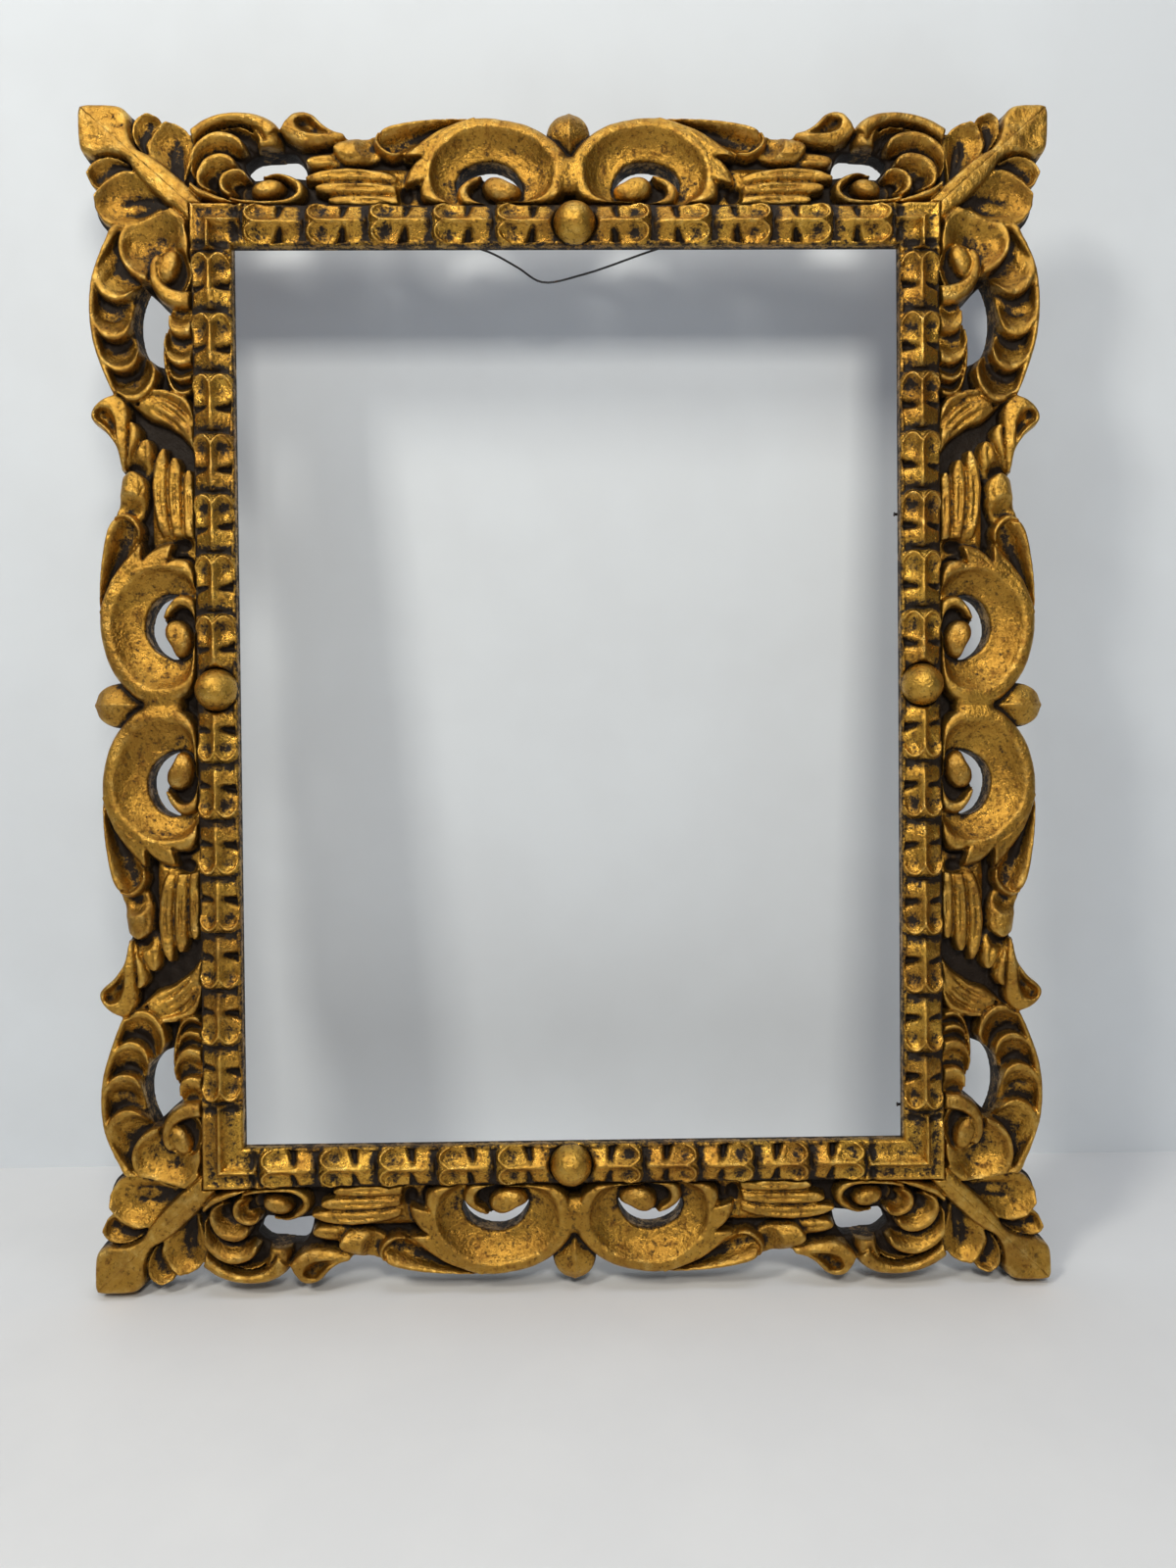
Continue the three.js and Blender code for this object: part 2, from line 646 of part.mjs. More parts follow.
function mouldingBody(half, rebate) {
  const gap = FIT / 2;
  const section = [
    [0, LIP_FRONT - LIP_T], [rebate, LIP_FRONT - LIP_T], [rebate, 0], [MOULDING_W - LEDGE_W, 0],
    [MOULDING_W - LEDGE_W, LEDGE_H + FIT], [MOULDING_W, LEDGE_H + FIT], [MOULDING_W, VALLEY_H],
    [MOULDING_W - 1.2, VALLEY_H + 0.8], [9, VALLEY_H + 1.4], [1.6, LIP_FRONT], [0.6, LIP_FRONT], [0, LIP_FRONT - 0.8],
  ];
  const end = (sign) => section.map(([v, h]) => [sign * (half + v - gap), v, h]);
  return loft([end(-1), end(1)]);
}

// One husk from `s0` to its two-lobed end at `s1`, its ridge cut back like a chisel stroke.
function husk(s0, s1, sign) {
  const low = VALLEY_H - 1;
  const section = [[1.6, low], [4, 21], [10.2, RIDGE_H], [15.6, 20.6], [17.3, low]];
  const narrow = ([v, h]) => [9.6 + (v - 9.6) * 0.64, h > low ? h - 1.6 : h];
  const cut = [1.6, 0, 6, 0, 1.6];
  const ends = section.map(([v, h], i) => [s1 - cut[i], v, h]);
  const rings = [section.map(narrow).map(([v, h]) => [s0, v, h]), ends];
  return loft(rings.map((ring) => ring.map(([s, v, h]) => [sign * s, v, h])));
}

// Plain mitred block that closes the row of husks.
function cornerBlock(from, half, sign) {
  const gap = FIT / 2;
  const section = [[2.1, VALLEY_H - 1], [2.1, 19.7], [10.2, RIDGE_H - 0.8], [17.4, 18],
    [17.4, VALLEY_H - 1]];
  const rings = [section.map(([v, h]) => [from, v, h]), section.map(([v, h]) => [half + v - gap * 3, v, h])];
  return loft(rings.map((ring) => ring.map(([s, v, h]) => [sign * s, v, h])));
}

function mouldingSolid(name) {
  const rail = RAILS[name];
  const half = rail.wide ? SIGHT_W / 2 : SIGHT_H / 2;
  const rebate = (rail.wide ? PANEL_COVERED.end : PANEL_COVERED.side) + PANEL_ROOM / 2;
  const count = rail.wide ? HUSK_COUNT.wide : HUSK_COUNT.tall;
  const parts = [mouldingBody(half, rebate)];
  for (const [end, sign] of Object.entries(rail.wide ? { left: -1, right: 1 } : { bottom: -1, top: 1 })) {
    const start = sign * BOSS_AT[name] + BOSS_D / 2 - 1;
    const reach = half - HUSK_SHORT[name][end];
    const pitch = (reach - start) / count;
    for (let k = 0; k < count; k += 1) {
      const s0 = start + pitch * k;
      parts.push(husk(s0 - HUSK_TUCK, s0 + pitch, sign));
    }
    parts.push(cornerBlock(reach - 3.4, half, sign));
  }
  const seat = new THREE.CylinderGeometry(BOSS_D / 2 + FIT, BOSS_D / 2 + FIT, 12, 24);
  seat.rotateX(Math.PI / 2);
  seat.translate(BOSS_AT[name], MOULDING_W / 2, VALLEY_H + 6);
  return joined(parts).subtract(solid(seat));
}

// Turned half bead
function bossSolid(name) {
  const quarter = Array.from({ length: BOSS_RINGS + 1 }, (_, k) => (k / BOSS_RINGS) * (Math.PI / 2));
  const profile = quarter.map((angle) => [(BOSS_D / 2) * Math.cos(angle), BOSS_RISE * Math.sin(angle)]);
  const line = [[0, 0], ...profile].map(([r, h]) => new THREE.Vector2(r < 1e-6 ? 0 : r, h));
  const geometry = new THREE.LatheGeometry(line, BOSS_SIDES);
  geometry.rotateX(Math.PI / 2);
  geometry.translate(BOSS_AT[name], MOULDING_W / 2, VALLEY_H + FIT);
  return solid(geometry);
}

// Border rail: the drawn half placed twice, each time with the drift of its own quarter.
const DRAWN_HALF = { wide: borderHalf(WIDE), tall: borderHalf(TALL) };

function borderSolid(name) {
  const rail = RAILS[name];
  const kind = rail.wide ? "wide" : "tall";
  const half = rail.wide ? SIGHT_W / 2 : SIGHT_H / 2;
  const halves = Object.entries(rail.ends).map(([end, endWidth]) => {
    const drift = DRIFT[name][end];
    const way = { half, drawnHalf: DRAWN_SIGHT[kind], drift, driftAt: DRIFT_AT[kind], endWidth };
    return placed(DRAWN_HALF[kind], (point) => {
      point.set(along(point.x, point.y, way), across(point.y, rail.width), point.z);
      toPart(point, rail, end);
    });
  });
  return joined(halves);
}

// A whole rail piece that is already in s, v and h.
function onRail(body, name) {
  const rail = RAILS[name];
  return placed(body, (point) => toPart(point, rail, rail.wide ? "right" : "top"));
}

// Hanging hardware. The ring of each eye stands across the rail, so that the wire runs through it.

function screwEye(side) {
  const ring = new THREE.TorusGeometry(EYE_RING_R, EYE_WIRE_D / 2, 6, 14);
  ring.rotateY(Math.PI / 2);
  ring.translate(0, EYE_BACK, 0);
  const length = SHANK_LEN + EYE_BACK - EYE_RING_R;
  const shank = new THREE.CylinderGeometry(SHANK_D / 2, SHANK_D / 2, length, 8);
  shank.translate(0, length / 2 - SHANK_LEN, 0);
  const point = new THREE.ConeGeometry(SHANK_D / 2, SHANK_POINT, 8);
  point.rotateX(Math.PI);
  point.translate(0, -SHANK_LEN - SHANK_POINT / 2, 0);
  const whole = joined([solid(ring), solid(shank), solid(point)]);
  return whole.translate([(side * EYE_SPAN) / 2, 0, 0]);
}

function pilotHole(side) {
  const depth = SHANK_LEN + SHANK_POINT + FIT;
  const hole = new THREE.CylinderGeometry(SHANK_D / 2 + FIT, SHANK_D / 2 + FIT, depth * 2, 8);
  hole.translate((side * EYE_SPAN) / 2, 0, 0);
  return solid(hole);
}

// A brad driven sideways into the rebate wall of the right moulding, its head end left standing.
function bradAlong(diameter, from, to, z) {
  const body = new THREE.CylinderGeometry(diameter / 2, diameter / 2, to - from, 6);
  body.rotateZ(Math.PI / 2);
  body.translate((from + to) / 2, BRAD_SINK - (LIP_FRONT - LIP_T), z);
  return solid(body);
}

const BRAD_FROM = SIGHT_W / 2 - BRAD_OUT;
const BRADS_AT = [-(EYE_RISE + BRAD_BELOW_TOP), -(EYE_RISE + SIGHT_H - BRAD_ABOVE_BOTTOM)];

function brad(z) {
  const shank = bradAlong(BRAD_D, BRAD_FROM, BRAD_FROM + BRAD_LEN, z);
  return joined([shank, bradAlong(BRAD_HEAD_D, BRAD_FROM, BRAD_FROM + BRAD_HEAD_T, z)]);
}

// The slack wire: it leaves each eye on the underside of the ring, and its middle has kinked a little.

function pathOf(points) {
  return new THREE.CatmullRomCurve3(points, false, "centripetal");
}

function tube(points, steps, sides, diameter) {
  const circle = Array.from({ length: sides }, (_, k) => {
    const angle = (k / sides) * Math.PI * 2;
    return new THREE.Vector2((diameter / 2) * Math.cos(angle), (diameter / 2) * Math.sin(angle));
  });
  const settings = { steps, bevelEnabled: false, extrudePath: pathOf(points) };
  return solid(new THREE.ExtrudeGeometry(new THREE.Shape(circle), settings));
}

// Least gap between stretches of a tube that lie over three diameters apart along it.
function leastGap(points, diameter) {
  const path = pathOf(points);
  const count = 600;
  const spaced = path.getSpacedPoints(count);
  const apart = Math.ceil((diameter * 3 * count) / path.getLength());
  let least = Infinity;
  for (let i = 0; i <= count; i += 1) {
    for (let j = i + apart; j <= count; j += 1) least = Math.min(least, spaced[i].distanceTo(spaced[j]));
  }
  return least - diameter;
}

const LOOP_R = EYE_WIRE_D / 2 + FIT + WIRE_D / 2;
const WIRE_SLOPE = THREE.MathUtils.degToRad(18);

// A point near an eye: `u` runs down the wire from the bottom of the ring, `w` square to it, and
// `y` away from the back.
function nearEye(side, u, w, y = 0) {
  const x = EYE_SPAN / 2 - u * Math.cos(WIRE_SLOPE) - w * Math.sin(WIRE_SLOPE);
  const z = -EYE_RING_R - u * Math.sin(WIRE_SLOPE) + w * Math.cos(WIRE_SLOPE);
  return new THREE.Vector3(side * x, EYE_BACK + y, z);
}

// The strand runs straight for a few millimetres from where its wound end begins.
function hangingWire() {
  const from = WIRE_D + FIT;
  const end = (side) => [from, from + WIRE_D, 5, 11].map((u) => nearEye(side, u, -LOOP_R));
  const slack = SLACK.map(([x, z]) => new THREE.Vector3(x, EYE_BACK - SLACK_IN, z));
  return tube([...end(-1), ...slack, ...end(1).reverse()], 40, 8, WIRE_D);
}

// The end of the wire, round the ring's lowest point and then wound round the wire itself. Both of
// its ends run straight for one diameter.
function woundEnd(side) {
  const points = [WIRE_D, WIRE_D / 2].map((u) => nearEye(side, u, -LOOP_R));
  for (let k = 0; k <= 8; k += 1) {
    const angle = (k / 8) * Math.PI;
    points.push(nearEye(side, -LOOP_R * Math.sin(angle), -LOOP_R * Math.cos(angle)));
  }
  points.push(nearEye(side, 1.5, 1.1), nearEye(side, 2.8, 0.1, -0.35));
  for (let k = 1; k <= WOUND_TURNS * 8; k += 1) {
    const angle = (k / 8) * Math.PI * 2;
    const w = -LOOP_R + WOUND_R * Math.cos(angle);
    points.push(nearEye(side, WOUND_FROM + (WOUND_PITCH * k) / 8, w, -WOUND_R * Math.sin(angle)));
  }
  const tail = WOUND_FROM + WOUND_PITCH * WOUND_TURNS;
  const rise = WOUND_PITCH / (Math.PI * 2 * WOUND_R);
  for (const run of [WIRE_D / 2, WIRE_D]) {
    points.push(nearEye(side, tail + run * rise, WOUND_R - LOOP_R, -run));
  }
  return points;
}

function wireLoop(name, side) {
  const points = woundEnd(side);
  console.log(`${name}: least gap to itself ${leastGap(points, WIRE_D).toFixed(2)} mm`);
  return tube(points, points.length + 2, 5, WIRE_D);
}

const group = new THREE.Group();

function add(name, body, look) {
  const mesh = new THREE.Mesh(geometryOf(body), new THREE.MeshStandardMaterial(look));
  mesh.name = name;
  group.add(mesh);
}

for (const name of Object.keys(RAILS)) {
  let moulding = onRail(mouldingSolid(name), name);
  if (name === "right") {
    const inside = BRAD_FROM + BRAD_LEN + FIT;
    const holes = BRADS_AT.map((z) => bradAlong(BRAD_D + FIT * 2, SIGHT_W / 2 + 1, inside, z));
    moulding = without(moulding, holes);
  }
  add(`${name}_moulding`, moulding, GILT);
  add(`${name}_boss`, onRail(bossSolid(name), name), BRIGHT_GILT);
  const border = borderSolid(name);
  add(`${name}_border`, name === "top" ? without(border, [pilotHole(-1), pilotHole(1)]) : border, GILT);
}

add("screw_eye_left", screwEye(-1), STEEL);
add("screw_eye_right", screwEye(1), STEEL);
add("brad_right_upper", brad(BRADS_AT[0]), STEEL);
add("brad_right_lower", brad(BRADS_AT[1]), STEEL);
add("hanging_wire", hangingWire(), STEEL);
for (const [name, side] of [["wire_loop_left", -1], ["wire_loop_right", 1]]) {
  add(name, wireLoop(name, side), STEEL);
}

export default group;
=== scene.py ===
import math

import bpy
import numpy as np
import openvdb
from mathutils import Matrix, Vector


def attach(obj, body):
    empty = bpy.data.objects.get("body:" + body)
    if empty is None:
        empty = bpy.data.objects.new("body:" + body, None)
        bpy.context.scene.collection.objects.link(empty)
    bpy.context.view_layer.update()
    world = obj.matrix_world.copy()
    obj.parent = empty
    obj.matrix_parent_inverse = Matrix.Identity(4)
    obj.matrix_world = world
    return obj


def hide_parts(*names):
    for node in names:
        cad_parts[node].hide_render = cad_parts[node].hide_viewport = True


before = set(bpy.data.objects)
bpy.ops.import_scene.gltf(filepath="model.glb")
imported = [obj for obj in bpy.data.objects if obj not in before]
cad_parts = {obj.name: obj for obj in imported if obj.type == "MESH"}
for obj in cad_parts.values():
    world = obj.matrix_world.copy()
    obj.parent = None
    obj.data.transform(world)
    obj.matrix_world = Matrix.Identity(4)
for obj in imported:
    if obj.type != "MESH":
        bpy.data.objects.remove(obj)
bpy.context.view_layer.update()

MM = 0.001
SIGHT_W, SIGHT_H = 292.0, 395.0
BORDER_SIDE, BORDER_TOP, BORDER_BOTTOM = 66.5, 61.5, 64.3
MOULDING_W, LEDGE_W, LEDGE_H = 18.0, 5.0, 8.0
LIP_FRONT, LIP_T, RIDGE_H, VALLEY_H = 19.5, 7.2, 24.3, 17.4
GROUND_H, FIT = 10.0, 0.3
BOSS_D, BOSS_RISE = 18.6, 10.4
EYE_SPAN, EYE_RISE, EYE_RING_R, EYE_WIRE_D, EYE_BACK = 132.0, 22.0, 3.6, 1.7, 7.2
WIRE_D = 0.95
DRAWN_W = 66.5
MIDDLE_Z = -(SIGHT_H / 2 + EYE_RISE)
INNER = MOULDING_W - LEDGE_W + FIT


# ---------------------------------------------------------------- camera and wire

CAMERA_TURN = (0.0150888, -0.0156990, -0.0092698)
CAMERA_SHIFT = (-7.4453, -38.3160, 516.7185)
LIP_CENTRE = (0, LIP_FRONT, -MIDDLE_Z)
SENSOR_MM, FOCAL_PX, IMAGE_PX = 36, 1202, 1200


def make_camera():
    """The photo's camera, as solved from the frame's own corners round the middle of the lip."""
    rx, ry, rz = CAMERA_TURN
    turn = Matrix.Rotation(rz, 3, "Z") @ Matrix.Rotation(ry, 3, "Y") @ Matrix.Rotation(rx, 3, "X")
    upright = Matrix(((1, 0, 0), (0, 0, -1), (0, 1, 0)))
    to_camera = turn @ upright
    place = -(to_camera.transposed() @ Vector(CAMERA_SHIFT))
    data = bpy.data.cameras.new("camera")
    data.sensor_fit = "HORIZONTAL"
    data.sensor_width = SENSOR_MM
    data.lens = SENSOR_MM * FOCAL_PX / IMAGE_PX
    data.clip_start = 0.01
    data.clip_end = 20
    camera = bpy.data.objects.new("camera", data)
    bpy.context.scene.collection.objects.link(camera)
    flip = Matrix(((1, 0, 0), (0, -1, 0), (0, 0, -1)))
    rotation = (flip @ to_camera).transposed()
    where = (place - Vector(LIP_CENTRE)) * MM
    camera.matrix_world = Matrix.Translation(where) @ rotation.to_4x4()
    bpy.context.scene.camera = camera


SLACK = [(-35.9, -14.4), (-22.5, -21.6), (-11.5, -28.2), (7.4, -24.8), (38.0, -14.4)]
SLACK_IN = 0.8
LOOP_R = EYE_WIRE_D / 2 + FIT + WIRE_D / 2
SLOPE = math.radians(18)
WOUND_TURNS, WOUND_R, WOUND_PITCH, WOUND_FROM = 3, 1.42, 1.5, 3.0
POINTS_PER_TURN = 12


def near_eye(side, u, w, y=0.0):
    """A point u along the wire's slope and w across it, from the middle of the ring's own wire at its
    lowest place."""
    x = EYE_SPAN / 2 - u * math.cos(SLOPE) - w * math.sin(SLOPE)
    z = -EYE_RING_R - u * math.sin(SLOPE) + w * math.cos(SLOPE)
    return Vector((side * x, EYE_BACK + y, z))


def wound_end(side):
    """From the strand round the ring and back, then wound round the strand to a short tail."""
    points = [near_eye(side, u, -LOOP_R) for u in (WIRE_D, WIRE_D / 2)]
    for k in range(9):
        angle = k / 8 * math.pi
        points.append(near_eye(side, -LOOP_R * math.sin(angle), -LOOP_R * math.cos(angle)))
    points += [near_eye(side, 1.5, 1.1), near_eye(side, 2.8, 0.1, -0.35)]
    for k in range(1, WOUND_TURNS * POINTS_PER_TURN + 1):
        angle = k / POINTS_PER_TURN * 2 * math.pi
        w = -LOOP_R + WOUND_R * math.cos(angle)
        points.append(near_eye(side, WOUND_FROM + WOUND_PITCH * k / POINTS_PER_TURN, w, -WOUND_R * math.sin(angle)))
    tail = WOUND_FROM + WOUND_PITCH * WOUND_TURNS
    rise = WOUND_PITCH / (2 * math.pi * WOUND_R)
    for run in (WIRE_D / 2, WIRE_D):
        points.append(near_eye(side, tail + run * rise, WOUND_R - LOOP_R, -run))
    return points


def wire_route():
    """The whole wire, from one tail to the other."""
    lead = WIRE_D + FIT

    def end(side):
        return [near_eye(side, u, -LOOP_R) for u in (lead, lead + WIRE_D, 5, 11)]

    slack = [Vector((x, EYE_BACK - SLACK_IN, z)) for x, z in SLACK]
    strand = end(-1) + slack + end(1)[::-1]
    return wound_end(-1)[::-1] + strand + wound_end(1)


def tangent(before, at, after, first, second):
    """The slope at a point, for unequal steps on its two sides."""
    return (at - before) / first - (after - before) / (first + second) + (after - at) / second


def smooth_curve(name, points, diameter):
    """One open Bezier spline through the points, with centripetal tangents."""
    data = bpy.data.curves.new(name, "CURVE")
    data.dimensions = "3D"
    data.resolution_u = 6
    data.bevel_depth = diameter / 2 * MM
    data.bevel_resolution = 5
    data.use_fill_caps = True
    spline = data.splines.new("BEZIER")
    spline.bezier_points.add(len(points) - 1)
    wide = [points[0] * 2 - points[1]] + list(points) + [points[-1] * 2 - points[-2]]
    gaps = [max((b - a).length, 1e-6) ** 0.5 for a, b in zip(wide, wide[1:])]
    for i, point in enumerate(spline.bezier_points):
        slope = tangent(wide[i], wide[i + 1], wide[i + 2], gaps[i], gaps[i + 1])
        point.handle_left_type = point.handle_right_type = "FREE"
        point.co = points[i] * MM
        point.handle_left = (points[i] - slope * gaps[i] / 3) * MM
        point.handle_right = (points[i] + slope * gaps[i + 1] / 3) * MM
    made = bpy.data.objects.new(name, data)
    bpy.context.scene.collection.objects.link(made)
    return made


# ---------------------------------------------------------------- materials

def sheet_colour(code):
    """An sRGB hex colour as the linear one that Blender works in."""
    parts = [int(code[i:i + 2], 16) / 255 for i in (0, 2, 4)]
    return tuple(c / 12.92 if c <= 0.04045 else ((c + 0.055) / 1.055) ** 2.4 for c in parts) + (1.0,)


def add_node(tree, kind, settings=None, links=None):
    """A node with its settings, input values and links: {input: value or output socket}."""
    made = tree.nodes.new(kind)
    for key, value in (settings or {}).items():
        setattr(made, key, value)
    for key, value in (links or {}).items():
        socket = made.inputs[key]
        if isinstance(value, bpy.types.NodeSocket):
            tree.links.new(value, socket)
        else:
            socket.default_value = value
    return made


def new_material(name):
    made = bpy.data.materials.new(name)
    made.use_nodes = True
    made.node_tree.nodes.clear()
    return made, made.node_tree


def finish_material(tree, values, bump=None):
    shader = add_node(tree, "ShaderNodeBsdfPrincipled", None, values)
    if bump is not None:
        tree.links.new(bump, shader.inputs["Normal"])
    add_node(tree, "ShaderNodeOutputMaterial", None, {"Surface": shader.outputs["BSDF"]})


def noise(tree, coords, size_mm, detail=3.0, roughness=0.55):
    links = {"Vector": coords, "Scale": 1000 / size_mm, "Detail": detail, "Roughness": roughness}
    return add_node(tree, "ShaderNodeTexNoise", None, links).outputs["Fac"]


def band(tree, value, low, high, to_low=0.0, to_high=1.0):
    links = {"Value": value, "From Min": low, "From Max": high, "To Min": to_low, "To Max": to_high}
    return add_node(tree, "ShaderNodeMapRange", {"clamp": True}, links).outputs["Result"]


def maths(tree, operation, a, b=0.0, clamp=False):
    return add_node(tree, "ShaderNodeMath", {"operation": operation, "use_clamp": clamp}, {0: a, 1: b}).outputs[0]


def mix(tree, share, a, b):
    return add_node(tree, "ShaderNodeMix", {"data_type": "RGBA"}, {0: share, 6: a, 7: b}).outputs[2]


def attribute(tree, name):
    return add_node(tree, "ShaderNodeAttribute", {"attribute_name": name}).outputs["Fac"]


def gilding(name, leaf, bright, polish):
    """Old burnished leaf: it mirrors its surroundings softly, wears brown and red in patches, and dark wax has stayed
    in every hollow; the hollows and walls also carry painted shade, and the crests a painted highlight, so that the
    carving reads at once. `polish` is the leaf's roughness."""
    made, tree = new_material(name)
    coords = add_node(tree, "ShaderNodeTexCoord").outputs["Object"]
    recess = attribute(tree, "recess")
    crest = attribute(tree, "crest")
    broad = noise(tree, coords, 26, 2.0)
    mottle = noise(tree, coords, 4.6, 5.0, 0.62)
    fine = noise(tree, coords, 1.1, 4.0, 0.6)
    specks = noise(tree, coords, 1.9, 3.0, 0.6)
    tone = mix(tree, band(tree, broad, 0.35, 0.65), sheet_colour(leaf), sheet_colour(bright))
    # bole and old varnish show through in patches
    worn = maths(tree, "MULTIPLY", band(tree, mottle, 0.53, 0.68), 0.6)
    tone = mix(tree, worn, tone, sheet_colour("7d4e22"))
    # the crests worn bright, with a painted highlight
    rubbed_and_highlight = maths(tree, "MULTIPLY", band(tree, mottle, 0.34, 0.5, 1.0, 0.15), maths(tree, "MULTIPLY", crest, 0.34))
    tone = mix(tree, rubbed_and_highlight, tone, sheet_colour("f3d482"))
    # wax and dust with painted shade: dark in the hollows and down the walls, with a broken edge, and dust in specks
    broken = maths(tree, "ADD", recess, band(tree, mottle, 0.3, 0.7, -0.26, 0.34))
    broken = maths(tree, "ADD", broken, band(tree, fine, 0.35, 0.65, -0.16, 0.16))
    grime_and_shade = band(tree, broken, 0.17, 0.64)
    grime_and_shade = maths(tree, "ADD", grime_and_shade, maths(tree, "MULTIPLY", band(tree, specks, 0.55, 0.64), 0.6))
    grime_and_shade = maths(tree, "SUBTRACT", grime_and_shade, maths(tree, "MULTIPLY", crest, 0.4), True)
    # the dark wax colour, which also paints the shade in the hollows
    colour = mix(tree, grime_and_shade, tone, sheet_colour("1c1209"))
    metal = band(tree, grime_and_shade, 0.3, 1.0, 0.97, 0.1)
    rough = maths(tree, "ADD", band(tree, mottle, 0.3, 0.7, polish - 0.05, polish + 0.16),
                  maths(tree, "MULTIPLY", grime_and_shade, 0.30), True)
    rough = maths(tree, "ADD", rough, maths(tree, "MULTIPLY", crest, 0.08), True)
    height = maths(tree, "ADD", mottle, maths(tree, "MULTIPLY", fine, 0.55))
    bump = add_node(tree, "ShaderNodeBump", None,
                    {"Strength": 0.8, "Distance": 0.0009, "Height": height}).outputs["Normal"]
    finish_material(tree, {"Base Color": colour, "Metallic": metal, "Roughness": rough, "IOR": 1.35}, bump)
    return made


def bare_wood(name):
    """Brown, hand-planed softwood of the back, darkened by age."""
    made, tree = new_material(name)
    coords = add_node(tree, "ShaderNodeTexCoord").outputs["Object"]
    along = add_node(tree, "ShaderNodeMapping", None, {"Vector": coords, "Scale": (1.0, 1.0, 0.08)})
    grain = noise(tree, along.outputs["Vector"], 2.4, 6.0, 0.6)
    stain = noise(tree, coords, 30, 3.0)
    colour = mix(tree, band(tree, grain, 0.35, 0.65), sheet_colour("5b3f24"), sheet_colour("8a6540"))
    colour = mix(tree, band(tree, stain, 0.45, 0.7, 0.0, 0.6), colour, sheet_colour("3c2a1a"))
    bump = add_node(tree, "ShaderNodeBump", None,
                    {"Strength": 0.35, "Distance": 0.0003, "Height": grain}).outputs["Normal"]
    rough = band(tree, grain, 0.3, 0.7, 0.62, 0.8)
    finish_material(tree, {"Base Color": colour, "Metallic": 0.0, "Roughness": rough, "IOR": 1.5}, bump)
    return made


def old_steel(name, colour_code, rust_share):
    """Dull drawn steel with a little rust."""
    made, tree = new_material(name)
    coords = add_node(tree, "ShaderNodeTexCoord").outputs["Object"]
    spots = noise(tree, coords, 1.6, 4.0)
    fine = noise(tree, coords, 0.3, 2.0)
    rust = band(tree, spots, 0.62 - rust_share * 0.3, 0.72, 0.0, 0.85)
    colour = mix(tree, rust, sheet_colour(colour_code), sheet_colour("5a3a24"))
    metal = band(tree, rust, 0.0, 0.85, 0.95, 0.2)
    rough = band(tree, rust, 0.0, 0.85, 0.42, 0.82)
    bump = add_node(tree, "ShaderNodeBump", None,
                    {"Strength": 0.3, "Distance": 0.00005, "Height": fine}).outputs["Normal"]
    finish_material(tree, {"Base Color": colour, "Metallic": metal, "Roughness": rough, "IOR": 1.5}, bump)
    return made


def plain_stage(name, code, rough, size_mm):
    """Matt painted board with faint clouding."""
    made, tree = new_material(name)
    coords = add_node(tree, "ShaderNodeTexCoord").outputs["Object"]
    soft = noise(tree, coords, size_mm, 3.0)
    colour = mix(tree, band(tree, soft, 0.4, 0.6, 0.0, 0.12), sheet_colour(code), sheet_colour("c9ccd2"))
    finish_material(tree, {"Base Color": colour, "Metallic": 0.0, "Roughness": rough, "IOR": 1.5})
    return made


# ---------------------------------------------------------------- height painting

STEP = 0.25
PAINT_PITCH, GROOVE_PITCH, OUTLINE_PITCH = 0.13, 0.12, 0.5
EDGE_REACH = 3.0
MOAT_REACH = 1.2


def eased(nodes, x):
    """A smooth curve through [place, value] nodes that overshoots none of them."""
    xs, ys = np.array(nodes, float).T
    slopes = np.diff(ys) / np.diff(xs)
    m = np.zeros(len(xs))
    for i in range(1, len(xs) - 1):
        a, b = slopes[i - 1], slopes[i]
        m[i] = 2 * a * b / (a + b) if a * b > 0 else 0.0
    m[0], m[-1] = slopes[0], slopes[-1]
    k = np.clip(np.searchsorted(xs, x) - 1, 0, len(xs) - 2)
    h = xs[k + 1] - xs[k]
    u = np.clip((x - xs[k]) / h, 0, 1)
    return ((1 + 2 * u) * (1 - u) ** 2 * ys[k] + u * (1 - u) ** 2 * h * m[k]
            + u * u * (3 - 2 * u) * ys[k + 1] + u * u * (u - 1) * h * m[k + 1])


def spline(points, share):
    """Uniform Catmull-Rom line through the points, read at shares from 0 to 1 of its spans."""
    p = np.array(points, float)
    n = len(p) - 1
    x = np.clip(share, 0, 1) * n
    k = np.minimum(x.astype(int), n - 1)
    u = (x - k)[:, None]
    p0, p1, p2, p3 = p[np.maximum(k - 1, 0)], p[k], p[k + 1], p[np.minimum(k + 2, n)]
    v0, v1 = (p2 - p0) / 2, (p3 - p1) / 2
    return (2 * p1 - 2 * p2 + v0 + v1) * u ** 3 + (-3 * p1 + 3 * p2 - 2 * v0 - v1) * u ** 2 + v0 * u + p1


def line_length(points):
    return float(np.linalg.norm(np.diff(points, axis=0), axis=1).sum())


def blur(field, reach_mm):
    """Gaussian blur of a 2-D field, its edges held."""
    sigma = reach_mm / STEP
    half = int(math.ceil(sigma * 2.5))
    x = np.arange(-half, half + 1)
    kernel = np.exp(-x * x / (2 * sigma * sigma))
    kernel /= kernel.sum()
    for axis in (0, 1):
        pad = [(half, half) if i == axis else (0, 0) for i in (0, 1)]
        wide = np.pad(field, pad, mode="edge")
        out = np.zeros_like(field)
        for j, weight in enumerate(kernel):
            part = wide[j:j + field.shape[0]] if axis == 0 else wide[:, j:j + field.shape[1]]
            out += weight * part
        field = out
    return field


def step_up(x, low, high):
    """From 0 at `low` to 1 at `high`, smooth at both."""
    u = np.clip((x - low) / (high - low), 0, 1)
    return u * u * (3 - 2 * u)


